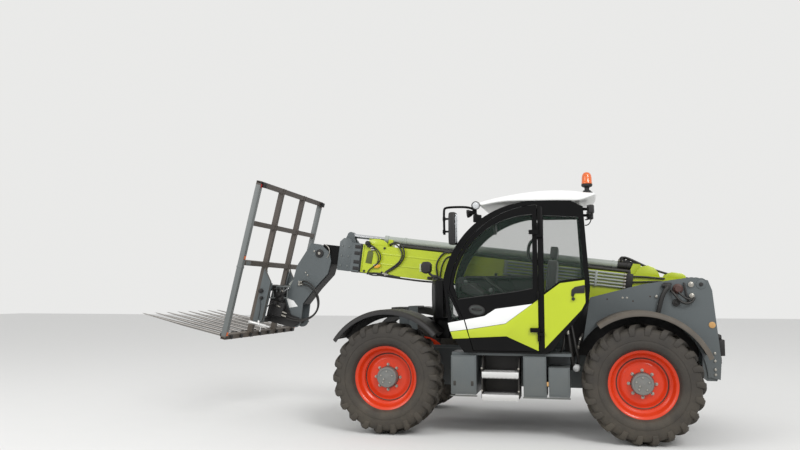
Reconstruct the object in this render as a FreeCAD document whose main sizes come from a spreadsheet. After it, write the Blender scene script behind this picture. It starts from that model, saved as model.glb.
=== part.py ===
import FreeCAD, Part
import Sketcher
import math
import os

# Telehandler. Frame of the files: +X towards the boom head, +Y towards the cab side, +Z up,
# origin on the ground under the middle of the whole machine.
# Places below are measured from the point on the ground midway between the axles.

V = FreeCAD.Vector
doc = FreeCAD.newDocument("telehandler")
sheet = doc.addObject("Spreadsheet::Sheet", "sizes")


class Dim:
    """One size: its value now and the expression that gives it from the sheet."""

    def __init__(self, value, text):
        self.value = float(value)
        self.text = text

    def __add__(self, other):
        other = dim(other)
        return Dim(self.value + other.value, f"({self.text} + {other.text})")

    def __sub__(self, other):
        other = dim(other)
        return Dim(self.value - other.value, f"({self.text} - {other.text})")

    def __mul__(self, other):
        other = dim(other)
        return Dim(self.value * other.value, f"({self.text} * {other.text})")

    def __truediv__(self, other):
        other = dim(other)
        return Dim(self.value / other.value, f"({self.text} / {other.text})")

    def __neg__(self):
        return Dim(-self.value, f"(0 - {self.text})")

    __radd__ = __add__
    __rmul__ = __mul__

    def __rsub__(self, other):
        return dim(other) - self


def dim(number):
    """A plain number as a size, so that both can stand in one outline."""
    return number if isinstance(number, Dim) else Dim(number, repr(float(number)))


def cosine(angle):
    angle = dim(angle)
    return Dim(math.cos(math.radians(angle.value)), f"cos({angle.text})")


def sine(angle):
    angle = dim(angle)
    return Dim(math.sin(math.radians(angle.value)), f"sin({angle.text})")


def root(number):
    return Dim(math.sqrt(number.value), f"sqrt({number.text})")


def magnitude(number):
    return Dim(abs(number.value), f"abs({number.text})")


def bearing(rise, run):
    """The angle of a line above the horizontal, in degrees."""
    text = f"(atan2({rise.text}; {run.text}) / 1 deg)"
    return Dim(math.degrees(math.atan2(rise.value, run.value)), text)


SIZES = [
    # name, size in mm or degrees, what it is
    ("origin_shift", -1105, "from the whole machine's middle to midway between the axles"),
    ("wheelbase", 2684, "front axle to rear axle"),
    ("wheel_centre_up", 605, "axle centre above the ground"),
    ("wheel_centre_side", 970, "middle of the tyre to the machine's centre line"),
    ("kingpin_side", 870, "steering pin to the centre line"),
    ("tyre_radius", 605, "to the lug tips"),
    ("tyre_width", 460, "over the side walls"),
    ("lug_depth", 38, "height of the lugs above the casing"),
    ("lug_count", 22, "lugs in each of a tyre's two rows"),
    ("lug_wide", 48, "a lug's tread, round the tyre"),
    ("lug_sweep", 105, "a lug's outer end behind its inner end"),
    ("rim_radius", 347.5, "over the rim's flanges"),
    ("rim_half_width", 160, "middle of the rim to a flange's outer face"),
    ("rim_well_radius", 278, "outside of the rim's well"),
    ("rim_thick", 9, "rolled rim"),
    ("rim_flange_wide", 18, "rolled edge of the rim, along the axle"),
    ("seat_radius", 318, "bead seat"),
    ("disc_thick", 16, "wheel disc"),
    ("disc_out", 26, "wheel disc's inner face outward from the tyre's middle"),
    ("disc_hole_radius", 118, "hole in the disc round the hub"),
    ("hub_radius", 117.5, "hub's outer drum"),
    ("hub_flange_radius", 178, "flange behind the disc"),
    ("hub_flange_thick", 22, "flange behind the disc"),
    ("hub_cap_out", 122, "hub's outer face outward from the tyre's middle"),
    ("hub_inner_radius", 92, "hub behind its flange"),
    ("hub_inner_in", 44, "hub's inner end inward from the tyre's middle"),
    ("spindle_radius", 45, "stub axle in the hub"),
    ("spindle_out", 84, "stub axle's end outward from the tyre's middle"),
    ("spindle_fit", 0.05, "radial play of the hub on the stub axle"),
    ("kingpin_radius", 22, "steering pin"),
    ("knuckle_radius", 50, "knuckle's drum round the steering pin"),
    ("kingpin_fit", 0.05, "radial play of the steering pin"),
    ("yoke_half_height", 168, "axle yoke, half its height"),
    ("yoke_ear", 40, "thickness of a yoke's ear"),
    ("yoke_gap", 6, "play between knuckle and yoke ear"),
    ("yoke_half_length", 62, "yoke along the machine, half"),
    ("axle_tube_radius", 78, "axle tube"),
    ("axle_bulb_radius", 165, "differential housing"),
    ("axle_bulb_half", 150, "differential housing, half its width"),
    ("frame_half_width", 250, "main frame's side plates, outer face"),
    ("frame_plate", 20, "main frame's side plates"),
    ("frame_low", 450, "main frame's underside"),
    ("frame_high", 880, "main frame's upper edge"),
    ("frame_axle_gap", 12, "main frame above the axle tubes"),
    ("frame_nose", 1800, "main frame's front end"),
    ("frame_tail", -1990, "main frame's rear end"),
    ("frame_neck_half", 400, "from an axle to where the frame steps down"),
    ("frame_floor", 16, "plates across the main frame"),
    ("tower_outer", 580, "outer face of the rear side plates"),
    ("tower_plate", 18, "rear side plates"),
    ("tower_inner", 205, "inner face of the boom's bearing plates"),
    ("arch_radius", 700, "wheel arch cut in the rear side plates"),
    ("pivot_back", -2000, "boom pivot"),
    ("pivot_up", 1620, "boom pivot above the ground"),
    ("pivot_radius", 45, "boom pivot pin"),
    ("pivot_fit", 0.05, "radial play of a hinge pin"),
    ("pivot_boss", 82, "boss round the boom pivot"),
    ("boom_angle", 7, "boom's nose above the horizontal"),
    ("base_top", 45, "boom base's top above the pivot"),
    ("base_height", 355, "boom base"),
    ("base_width", 320, "boom base"),
    ("base_wall", 9, "boom base"),
    ("base_back", -105, "boom base's rear end behind the pivot"),
    ("base_front", 3920, "boom base's mouth ahead of the pivot"),
    ("mid_height", 296, "second boom section"),
    ("mid_width", 284, "second boom section"),
    ("mid_wall", 8, "second boom section"),
    ("mid_back", 640, "second section's rear end ahead of the pivot"),
    ("collar_back", 3945, "second section's collar, rear face"),
    ("collar_front", 4225, "second section's collar, front face"),
    ("collar_rise", 30, "collar beyond the second section's top and bottom"),
    ("inner_height", 236, "third boom section"),
    ("inner_width", 250, "third boom section"),
    ("inner_wall", 8, "third boom section"),
    ("inner_back", 760, "third section's rear end ahead of the pivot"),
    ("pad_long", 160, "wear pads along the boom"),
    ("pad_wide", 120, "wear pads across the boom"),
    ("pad_play", 0.3, "play between a wear pad and its section"),
    ("ram_up", 137, "telescope cylinder's axis above the pivot line"),
    ("ram_radius", 43, "telescope cylinder"),
    ("ram_back", 610, "telescope cylinder's rear end ahead of the pivot"),
    ("ram_front", 3690, "telescope cylinder's gland ahead of the pivot"),
    ("ram_rod_radius", 27, "telescope cylinder's rod"),
    ("ram_eye", 4135, "telescope cylinder's front pin ahead of the pivot"),
    ("ram_end_wall", 60, "closed end of the telescope cylinder"),
    ("rod_fit", 0.05, "radial play of a rod in its gland"),
    ("eye_radius", 45, "eye of a cylinder"),
    ("eye_half", 28, "eye of a cylinder, half its width"),
    ("eye_pin", 20, "pin in a cylinder's eye"),
    ("eye_play", 4, "play beside a cylinder's eye"),
    ("eye_neck", 8, "from a cylinder's eye to its tube or rod"),
    ("ear_thick", 18, "ears that hold a cylinder's pin"),
    ("lift_eye", 42, "lift cylinder's eyes, half their width"),
    ("lift_spare", 96, "lift cylinder's piston ahead of the closed end"),
    ("tilt_eye", 34, "tilt cylinder's eyes, half their width"),
    ("tilt_spare", 90, "tilt cylinder's piston ahead of the closed end"),
    ("lift_foot_x", -1850, "lift cylinder's lower pin"),
    ("lift_foot_up", 850, "lift cylinder's lower pin above the ground"),
    ("lift_head_along", 1100, "lift cylinder's upper pin ahead of the boom pivot"),
    ("lift_head_down", 400, "lift cylinder's upper pin below the pivot line"),
    ("lift_radius", 62, "lift cylinder"),
    ("lift_rod_radius", 38, "lift cylinder's rod"),
    ("lift_gland", 178, "lift cylinder's gland back from its upper pin"),
    ("lift_wall", 12, "lift cylinder's tube"),
    ("lift_bottom", 80, "lift cylinder's closed end from its lower pin"),
    ("tilt_pin_along", 4487, "tilt cylinder's upper pin ahead of the boom pivot"),
    ("tilt_pin_down", 138, "tilt cylinder's upper pin below the pivot line"),
    ("tilt_radius", 50, "tilt cylinder"),
    ("tilt_rod_radius", 30, "tilt cylinder's rod"),
    ("tilt_gland", 162, "tilt cylinder's gland back from its lower pin"),
    ("tilt_bottom", 75, "tilt cylinder's closed end from its upper pin"),
    ("tilt_wall", 10, "tilt cylinder's tube"),
    ("foot_along", 4709, "attachment pivot ahead of the boom pivot"),
    ("foot_down", 1032, "attachment pivot below the pivot line"),
    ("foot_radius", 30, "attachment pivot pin"),
    ("foot_boss", 78, "boss round the attachment pivot"),
    ("neck_plate", 20, "boom head's side plates"),
    ("head_lean", 13, "attachment leans back"),
    ("cheek_gap", 6, "carriage cheek beside the boom head"),
    ("cheek_thick", 22, "carriage cheeks"),
    ("crowd_along", 289, "tilt cylinder's lower pin ahead of the attachment pivot"),
    ("crowd_up", 272, "tilt cylinder's lower pin above the attachment pivot"),
    ("rack_plane", 440, "bale frame's rear face ahead of the attachment pivot"),
    ("hook_reach", 60, "carriage's front behind the bale frame"),
    ("rack_tube", 60, "bale frame's square tube"),
    ("rack_low", -292, "bale frame's lower edge from the attachment pivot"),
    ("rack_high", 1609, "bale frame's upper edge from the attachment pivot"),
    ("rack_width", 2154, "bale frame"),
    ("rack_bay", 360, "inner uprights from the middle"),
    ("rail_upper", 1077, "bale frame's upper rail from the attachment pivot"),
    ("rail_middle", 600, "bale frame's middle rail from the attachment pivot"),
    ("tine_length", 1150, "bale spikes"),
    ("tine_radius", 20, "bale spikes at their root"),
    ("tine_count", 8, "bale spikes"),
    ("tine_spread", 1900, "first spike to last"),
    ("bracket_side", 400, "attachment brackets from the middle"),
    ("bracket_thick", 30, "attachment brackets"),
    ("cab_outer", 1045, "cab's outer face from the centre line"),
    ("cab_inner", 215, "cab's inner face from the centre line"),
    ("cab_skin", 45, "thickness of the cab's side walls and door"),
    ("cab_rim", 42, "cab frame round the door and glass"),
    ("cab_arc", 1010, "radius of the cab's front curve"),
    ("glass_thick", 6, "cab glass"),
    ("door_gap", 6, "gap round the door"),
    ("pillar_back", -372, "rear edge of the middle pillar"),
    ("pillar_front", -312, "front edge of the middle pillar"),
    ("hinge_pin", 9, "door hinge pin"),
    ("hinge_out", 24, "door hinge pin beyond the cab's outer face"),
    ("tub_wall", 30, "cab's lower shell"),
    ("roof_reach", 300, "roof's seat ahead of the cab's crown"),
    ("roof_overhang", 16, "cab roof beyond the cab's sides"),
    ("beacon_x", -838, "warning beacon, forward"),
    ("beacon_side", 795, "warning beacon from the centre line"),
    ("beacon_foot", 2622, "warning beacon's foot above the ground"),
    ("beacon_stem", 42, "warning beacon's stem, radius"),
    ("beacon_stem_high", 78, "warning beacon's stem"),
    ("beacon_radius", 62, "warning beacon's dome"),
    ("beacon_high", 222, "warning beacon over its foot"),
    ("fender_radius", 730, "inside of the mudguards"),
    ("fender_thick", 12, "mudguards"),
    ("fender_inner", 620, "mudguard's inner edge from the centre line"),
    ("fender_outer", 1125, "mudguard's outer edge from the centre line"),
    ("fender_lip", 45, "mudguard's turned-down outer edge"),
    ("fender_edge", 10, "thickness of the turned-down edge"),
    ("front_fender_fore", 33, "front mudguard's front end above the horizontal"),
    ("front_fender_aft", 139, "front mudguard's rear end, round from the front"),
    ("rear_fender_fore", 126, "rear mudguard's front end, round from the rear"),
    ("rear_fender_aft", 22, "rear mudguard's rear end above the horizontal"),
    ("sill_up", 860, "underside of the sill that carries cab and boxes"),
    ("sill_thick", 28, "sill"),
    ("sill_front", 629, "sill's front end"),
    ("sill_back", -640, "sill's rear end"),
    ("sill_inner", 640, "sill's inner edge from the centre line"),
    ("sill_outer", 1000, "sill's outer edge from the centre line"),
    ("outrigger_long", 90, "beam under the cab, along the machine"),
    ("outrigger_high", 110, "beam under the cab"),
    ("outrigger_front", 360, "front beam's middle"),
    ("outrigger_back", -420, "rear beam's middle"),
    ("box_inner", 640, "side boxes' inner face from the centre line"),
    ("box_outer", 1060, "side boxes' outer face from the centre line"),
    ("box_edge", 20, "rounding of the side boxes"),
    ("step_inner", 780, "ladder's inner edge from the centre line"),
    ("step_outer", 1075, "ladder's outer edge from the centre line"),
    ("step_left", -100, "ladder's rear side"),
    ("step_right", 300, "ladder's front side"),
    ("step_plate", 12, "ladder's side plates"),
    ("tread_thick", 40, "ladder's treads"),
    ("tread_upper", 650, "upper tread's underside above the ground"),
    ("tread_lower", 415, "lower tread's underside above the ground"),
    ("hood_outer", 1060, "hood's outer face from the centre line"),
    ("hood_inner", 275, "hood's inner edge from the centre line"),
    ("hood_wall", 14, "hood's wall"),
    ("hood_back", -725, "hood's rear end"),
    ("hood_front", 620, "hood's front end"),
    ("hood_high", 1350, "hood's top"),
    ("hood_low", 900, "hood's lower edge"),
    ("louvre_count", 7, "louvres in the hood's outer side"),
    ("louvre_low", 70, "lowest louvre above the hood's lower edge"),
    ("louvre_step", 42, "from one louvre to the next"),
    ("louvre_high", 26, "height of a louvre"),
    ("louvre_proud", 9, "louvre's lip beyond the hood's side"),
    ("louvre_margin", 120, "louvres ahead of the hood's rear end"),
    ("louvre_long", 520, "length of the louvres"),
    ("hood_hinge_in", 12, "hood's hinge inward of the hood's inner edge"),
    ("hood_hinge_up", 8, "hood's hinge above the hood's top"),
    ("steer_wheel_x", 160, "steering wheel's middle"),
    ("steer_wheel_up", 1590, "steering wheel's middle above the ground"),
    ("steer_wheel_radius", 200, "steering wheel"),
    ("steer_wheel_rim", 26, "steering wheel's rim"),
    ("steer_wheel_lean", 38, "steering wheel's slope, front edge up, in degrees"),
    ("hood_pin", 8, "hood's hinge pin"),
    ("hood_eye", 18, "hood's hinge eyes"),
    ("hood_eye_long", 60, "hood's hinge eyes, along the hinge"),
    ("hood_hinge_back", -600, "rear hinge of the hood"),
    ("hood_hinge_front", 420, "front hinge of the hood"),
    ("hood_corner", 110, "rounding of the hood's outer top edge"),
    ("hood_play", 6, "gap between hood and bay"),
    ("bay_wall", 16, "engine bay's inner wall"),
    ("engine_long", 900, "engine block"),
    ("engine_wide", 480, "engine block"),
    ("engine_high", 400, "engine block"),
    ("engine_x", -90, "engine's middle"),
    ("engine_side", 640, "engine's middle from the centre line"),
    ("weight_back", -2150, "counterweight's rear face"),
    ("weight_front", -1990, "counterweight's front face"),
    ("weight_low", 600, "counterweight's underside"),
    ("weight_high", 1150, "counterweight's top"),
    ("hitch_hole", 16, "tow pin hole, radius"),
    ("hitch_side", 45, "tow hitch, half its width"),
    ("hitch_back", -2270, "tow hitch's rear end"),
    ("hitch_up", 820, "tow hitch's lower jaw"),
    ("hitch_mouth", 60, "tow hitch's mouth"),
    ("hitch_jaw", 30, "tow hitch's jaws"),
    ("plate_hole", 9, "holes in the counterweight for a bolted plate, radius"),
    ("plate_hole_deep", 60, "depth of those holes"),
    ("plate_hole_across", 320, "those holes, side to side"),
    ("plate_hole_high", 120, "those holes, top to bottom"),
    ("plate_hole_up", 1040, "those holes' middle above the ground"),
]

# Corners of outlines seen from the side: name, forward, up, in mm.
CORNERS = {
    "cab": [("sill_fore", 484, 888), ("toe", 613, 1054), ("knee", 660, 1223),
            ("brow", 715, 1660), ("crown", -320, 2514), ("crest", -660, 2508),
            ("nape", -790, 2440), ("belt", -846, 1584), ("hip", -826, 1415),
            ("heel", -450, 928), ("sill_aft", -383, 888)],
    "door": [("foot", 385, 912), ("shin", 470, 1200), ("lap", 640, 1560)],
    "pane": [("low_fore", 548, 1452), ("low_mid", -67, 1533), ("low_aft", -255, 1567)],
    "quarter": [("low_fore", -372, 1533), ("low_mid", -538, 1657), ("low_aft", -790, 1690)],
    "tower": [("front", -846, 1479), ("rise", -1412, 1625), ("ridge", -1908, 1698),
              ("back", -2071, 1664), ("shoulder", -2110, 1554), ("tail", -2177, 813),
              ("tip", -2161, 615), ("foot", -2060, 640)],
    "roof": [("nose", 313, 2525), ("rise", -99, 2612), ("top", -430, 2643),
             ("fall", -764, 2619), ("tip", -936, 2580), ("under", -760, 2500)],
}

# Boom head: corners along the boom and above the pivot line.
NECK = [("crest", 4614, -19), ("top", 4486, -23), ("nape", 4357, -112), ("throat", 4324, -227),
        ("chin", 4348, -383), ("belly", 4501, -589), ("wrist", 4632, -800),
        ("knuckle", 4892, -808), ("back", 4802, -522), ("shoulder", 4773, -329)]

# Side boxes under the cab: name, rear end, front end, underside, top.
BOXES = [("front", 357, 629, 450, 860), ("middle", -380, -142, 435, 860),
         ("rear", -620, -405, 448, 750)]


def fill_sheet():
    """Write every driving size into the sheet under its own name."""
    rows = list(SIZES)
    for outline_name, corners in CORNERS.items():
        for corner, forward, up in corners:
            rows.append((f"{outline_name}_{corner}_x", forward, "outline corner, forward"))
            rows.append((f"{outline_name}_{corner}_up", up, "outline corner, up"))
    for corner, along, up in NECK:
        rows.append((f"neck_{corner}_along", along, "boom head corner, along the boom"))
        rows.append((f"neck_{corner}_off", up, "boom head corner, off the pivot line"))
    for box, back, front, low, high in BOXES:
        rows.append((f"box_{box}_back", back, "side box"))
        rows.append((f"box_{box}_front", front, "side box"))
        rows.append((f"box_{box}_low", low, "side box"))
        rows.append((f"box_{box}_high", high, "side box"))
    sizes = {}
    for line, (name, value, meaning) in enumerate(rows, 1):
        sheet.set(f"A{line}", name)
        sheet.set(f"B{line}", str(value))
        sheet.set(f"C{line}", meaning)
        sheet.setAlias(f"B{line}", name)
        sizes[name] = Dim(value, f"sizes.{name}")
    doc.recompute()
    return sizes


class Sizes:
    """The sheet's sizes as attributes, such as s.wheelbase."""

    def __init__(self, table):
        self.__dict__.update(table)

    def corner(self, outline_name, corner):
        table = self.__dict__
        return table[f"{outline_name}_{corner}_x"], table[f"{outline_name}_{corner}_up"]


s = Sizes(fill_sheet())
PLANES = {"side": "XZ_Plane", "plan": "XY_Plane", "front": "YZ_Plane"}
nodes = []


def body(label, x=0, y=0, z=0, pitch=None):
    """A body whose own origin stands at x, y, z; pitch lifts its +X end by so many degrees."""
    item = doc.addObject("PartDesign::Body", label)
    item.Label = label
    if pitch is not None:
        item.Placement.Rotation = FreeCAD.Rotation(V(0, -1, 0), pitch.value)
        item.setExpression("Placement.Rotation.Angle", pitch.text)
    place = {"x": dim(x) + s.origin_shift, "y": dim(y), "z": dim(z)}
    for axis, value in place.items():
        if value.text != "0.0":
            item.setExpression(f"Placement.Base.{axis}", value.text)
    nodes.append(item)
    return item


def origin_plane(item, plane):
    for feature in item.Origin.OriginFeatures:
        if feature.Role == PLANES[plane]:
            return feature
    raise ValueError(plane)


def new_sketch(item, name, plane, level):
    """A sketch on one of the body's own planes, moved along the plane's normal to a level."""
    sketch = item.newObject("Sketcher::SketchObject", name)
    sketch.AttachmentSupport = [(origin_plane(item, plane), "")]
    sketch.MapMode = "FlatFace"
    level = dim(level)
    if plane == "side":
        level = -level
    if level.text != "0.0":
        sketch.setExpression("AttachmentOffset.Base.z", level.text)
    return sketch


def hold(sketch, kind, ends, size):
    """Give one dimension of a sketch its size from the sheet."""
    number = sketch.addConstraint(Sketcher.Constraint(kind, *ends, size.value))
    sketch.setExpression(f"Constraints[{number}]", size.text)


def arc_centre(start, stop, radius):
    """Centre of the arc between two points: left of the way from start to stop where the
    radius is +, right of it where it is -."""
    run, rise = stop[0] - start[0], stop[1] - start[1]
    chord = root(run * run + rise * rise)
    off = root(magnitude(radius * radius - chord * chord / 4)) / chord
    if radius.value < 0:
        off = -off
    return ((start[0] + stop[0]) / 2 - rise * off, (start[1] + stop[1]) / 2 + run * off)


def draw_outline(sketch, points, arcs=None):
    """A closed outline. arcs gives the radius of the side after a point: + bulges outwards
    when the points run anticlockwise."""
    arcs = arcs or {}
    points = [(dim(a), dim(b)) for a, b in points]
    count = len(points)
    base = sketch.GeometryCount
    ends = {}
    for i, start in enumerate(points):
        stop = points[(i + 1) % count]
        line = [V(a.value, b.value, 0) for a, b in (start, stop)]
        if i not in arcs:
            sketch.addGeometry(Part.LineSegment(*line), False)
            ends[i] = (1, 2)
            continue
        radius = dim(arcs[i])
        centre = arc_centre(start, stop, radius)
        middle = V(centre[0].value, centre[1].value, 0)
        ends[i] = (1, 2) if radius.value > 0 else (2, 1)
        first, last = [line[k - 1] for k in ends[i]]
        angles = [math.atan2(p.y - middle.y, p.x - middle.x) for p in (first, last)]
        circle = Part.Circle(middle, V(0, 0, 1), (first - middle).Length)
        sketch.addGeometry(Part.ArcOfCircle(circle, *angles), False)
        chord = line[1] - line[0]
        kind, place = (("DistanceX", centre[0]) if abs(chord.y) > abs(chord.x)
                       else ("DistanceY", centre[1]))
        hold(sketch, kind, (-1, 1, base + i, 3), place)
    for i, (a, b) in enumerate(points):
        following = (i + 1) % count
        sketch.addConstraint(Sketcher.Constraint("Coincident", base + i, ends[i][1],
                                                 base + following, ends[following][0]))
        hold(sketch, "DistanceX", (-1, 1, base + i, ends[i][0]), a)
        hold(sketch, "DistanceY", (-1, 1, base + i, ends[i][0]), b)


def draw_circle(sketch, across, up, radius):
    across, up, radius = dim(across), dim(up), dim(radius)
    circle = Part.Circle(V(across.value, up.value, 0), V(0, 0, 1), radius.value)
    index = sketch.addGeometry(circle, False)
    hold(sketch, "DistanceX", (-1, 1, index, 3), across)
    hold(sketch, "DistanceY", (-1, 1, index, 3), up)
    hold(sketch, "Radius", (index,), radius)


def raise_sketch(item, name, sketch, low, high, cut):
    """Pad a sketch, or cut it, from a low to a high level along its plane's normal."""
    kind = "PartDesign::Pocket" if cut else "PartDesign::Pad"
    before = item.Shape.Volume if cut else 0
    feature = item.newObject(kind, name)
    feature.Profile = sketch
    length = dim(high) - dim(low)
    feature.setExpression("Length", length.text)
    if cut:
        feature.Reversed = True
    doc.recompute()
    if "Up-to-date" not in feature.State:
        raise ValueError(f"{item.Label}: {name} {feature.State} {sketch.State}")
    if cut and item.Shape.Volume > before - 1:
        raise ValueError(f"{item.Label}: {name} cuts nothing")
    return feature


def slab(item, name, plane, points, low, high, arcs=None, cut=False):
    """A flat piece of an outline between two levels. On the side plane levels run along Y."""
    start = high if plane == "side" else low
    sketch = new_sketch(item, name + "_outline", plane, start)
    draw_outline(sketch, points, arcs)
    return raise_sketch(item, name, sketch, low, high, cut)


def disc(item, name, plane, across, up, radius, low, high, cut=False):
    """A round piece or hole between two levels."""
    start = high if plane == "side" else low
    sketch = new_sketch(item, name + "_outline", plane, start)
    draw_circle(sketch, across, up, radius)
    return raise_sketch(item, name, sketch, low, high, cut)


def block(item, name, x, y, z, cut=False):
    """A rectangular piece; x, y and z are (low, high) pairs."""
    corners = [(x[0], z[0]), (x[1], z[0]), (x[1], z[1]), (x[0], z[1])]
    return slab(item, name, "side", corners, y[0], y[1], cut=cut)


def turned(item, name, plane, points, arcs=None, cut=False):
    """A turned piece: points are (along the axis, radius); the axis is the plane's first one."""
    sketch = new_sketch(item, name + "_outline", plane, 0)
    draw_outline(sketch, points, arcs)
    kind = "PartDesign::Groove" if cut else "PartDesign::Revolution"
    before = item.Shape.Volume if cut else 0
    feature = item.newObject(kind, name)
    feature.Profile = sketch
    feature.ReferenceAxis = (sketch, ["H_Axis"])
    feature.Angle = 360
    doc.recompute()
    if cut and item.Shape.Volume > before - 1:
        raise ValueError(f"{item.Label}: {name} cuts nothing")
    return feature


def mirrored(item, features, plane="side"):
    """Repeat features on the other side of the body's middle plane."""
    feature = item.newObject("PartDesign::Mirrored", "mirrored")
    feature.Originals = features
    feature.MirrorPlane = (origin_plane(item, plane), [""])
    item.Tip = feature
    doc.recompute()
    return feature


def polar(item, features, axis, count):
    """Repeat features round one of the body's own axes."""
    feature = item.newObject("PartDesign::PolarPattern", "pattern")
    feature.Originals = features
    for candidate in item.Origin.OriginFeatures:
        if candidate.Role == axis:
            feature.Axis = (candidate, [""])
    feature.Angle = 360
    feature.Occurrences = int(count.value)
    feature.setExpression("Occurrences", count.text)
    item.Tip = feature
    doc.recompute()
    return feature


def sector(centre_x, centre_up, inner, outer, fore, aft):
    """Corners and arcs of a curved band round a centre, from one angle to another."""
    points = [(centre_x + inner * cosine(fore), centre_up + inner * sine(fore)),
              (centre_x + outer * cosine(fore), centre_up + outer * sine(fore)),
              (centre_x + outer * cosine(aft), centre_up + outer * sine(aft)),
              (centre_x + inner * cosine(aft), centre_up + inner * sine(aft))]
    return points, {1: outer, 3: -inner}


def both_sides(item, name, plane, points, low, high, arcs=None):
    """The same flat piece on the left and, mirrored, on the right."""
    slab(item, name + "_left", plane, points, low, high, arcs)
    slab(item, name + "_right", plane, points, -dim(high), -dim(low), arcs)


# Places that several pieces share
axle_x = {"front": s.wheelbase / 2, "rear": -(s.wheelbase / 2)}
sides = {"left": 1, "right": -1}
boom_place = {"x": s.pivot_back, "z": s.pivot_up, "pitch": s.boom_angle}


def boom_point(along, off):
    """A point given along and off the boom, in the machine's own directions."""
    x = s.pivot_back + along * cosine(s.boom_angle) - off * sine(s.boom_angle)
    up = s.pivot_up + along * sine(s.boom_angle) + off * cosine(s.boom_angle)
    return x, up


foot_x, foot_up = boom_point(s.foot_along, -s.foot_down)


def head_point(along, off):
    """A point given along and off the attachment, in the machine's own directions."""
    x = foot_x + along * cosine(s.head_lean) - off * sine(s.head_lean)
    up = foot_up + along * sine(s.head_lean) + off * cosine(s.head_lean)
    return x, up


base_low = s.base_top - s.base_height
boom_middle = s.base_top - s.base_height / 2


def make_tyre(end, side):
    """Tyre: casing turned round the axle, and two rows of lugs on flat-sided bands."""
    sign = sides[side]
    item = body(f"tyre_{end}_{side}", axle_x[end], s.wheel_centre_side * sign, s.wheel_centre_up)
    half = s.tyre_width / 2
    tread = half * 0.9
    reach = tread + 6
    bead = s.rim_half_width - s.rim_flange_wide
    shoulder = s.tyre_radius - s.lug_depth
    belly = s.rim_radius + (shoulder - s.rim_radius) * 0.45
    for row in (1, -1):
        make_lug_band(item, row, reach)
    disc(item, "band_way", "side", 0, 0, shoulder - 60, -(reach + 1), reach + 1, cut=True)
    points = [(-bead, s.seat_radius), (bead, s.seat_radius), (bead, s.rim_radius),
              (half * 0.88, s.rim_radius + 25), (half, belly), (tread, shoulder - 22),
              (tread * 0.8, shoulder - 8), (-(tread * 0.8), shoulder - 8),
              (-tread, shoulder - 22), (-half, belly), (-(half * 0.88), s.rim_radius + 25),
              (-bead, s.rim_radius)]
    turned(item, "casing", "front", points)
    for row in (1, -1):
        make_lug_row(item, row, reach)


def lug_turn(row):
    """The inner row's lugs stand half a step from the outer row's."""
    return dim(0) if row > 0 else dim(180) / s.lug_count


def make_lug_band(item, row, reach):
    """The band under one row of lugs, with a flat for each lug."""
    step = dim(360) / s.lug_count
    rim = (s.tyre_radius - s.lug_depth) / cosine(step / 2)
    corners = []
    for flat in range(int(s.lug_count.value)):
        angle = step * (flat + 0.5) + lug_turn(row)
        corners.append((rim * sine(angle), rim * cosine(angle)))
    low, high = (dim(0), reach) if row > 0 else (-reach, dim(0))
    slab(item, "band_outer" if row > 0 else "band_inner", "side", corners, low, high)


def make_lug_row(item, row, reach):
    """A swept bar on the row's uppermost flat, repeated round the axle."""
    wide, sweep = s.lug_wide / 2, s.lug_sweep / 2
    base = s.tyre_radius - s.lug_depth - 2
    top = root(s.tyre_radius * s.tyre_radius - (wide + sweep) * (wide + sweep))
    low, high = (dim(0), reach) if row > 0 else (-reach, dim(0))
    near, far = (-sweep, sweep) if row > 0 else (sweep, -sweep)
    points = [(near - wide, low), (near + wide, low), (far + wide, high), (far - wide, high)]
    name = "lug_outer" if row > 0 else "lug_inner"
    sketch = new_sketch(item, name + "_outline", "plan", 0)
    draw_outline(sketch, points)
    turn = lug_turn(row)
    sketch.AttachmentOffset.Rotation = FreeCAD.Rotation(V(0, 1, 0), turn.value)
    sketch.setExpression("AttachmentOffset.Rotation.Angle", turn.text)
    sketch.setExpression("AttachmentOffset.Base.x", (base * sine(turn)).text)
    sketch.setExpression("AttachmentOffset.Base.z", (base * cosine(turn)).text)
    lug = raise_sketch(item, name, sketch, base, top, False)
    polar(item, [lug], "Y_Axis", s.lug_count)


def make_rim(end, side):
    """Steel rim: rolled barrel with flanges and well, and a dished disc with bolt holes."""
    sign = sides[side]
    item = body(f"rim_{end}_{side}", axle_x[end], s.wheel_centre_side * sign, s.wheel_centre_up)
    edge = s.rim_half_width
    bead = edge - s.rim_flange_wide
    seat = s.seat_radius
    well = s.rim_well_radius
    t = s.rim_thick
    points = [(-edge, s.rim_radius), (-edge, seat - t), (-(bead * 0.62), seat - t),
              (-(bead * 0.4), well - t), (bead * 0.4, well - t), (bead * 0.62, seat - t),
              (edge, seat - t), (edge, s.rim_radius), (bead, s.rim_radius), (bead, seat),
              (bead * 0.62 - t / 2, seat), (bead * 0.4 - t / 2, well), (-(bead * 0.4 - t / 2), well),
              (-(bead * 0.62 - t / 2), seat), (-bead, seat), (-bead, s.rim_radius)]
    turned(item, "barrel", "front", points)
    near = s.disc_out * sign
    far = (s.disc_out + s.disc_thick) * sign
    rise = 18 * sign
    step = s.hub_flange_radius + 14
    disc_points = [(near, s.disc_hole_radius), (near, step), (near - rise, step + 30),
                   (near - rise, well - t), (far - rise, well - t), (far - rise, step + 34),
                   (far, step + 4), (far, s.disc_hole_radius)]
    if sign < 0:
        disc_points.reverse()
    turned(item, "disc", "front", disc_points)


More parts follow.
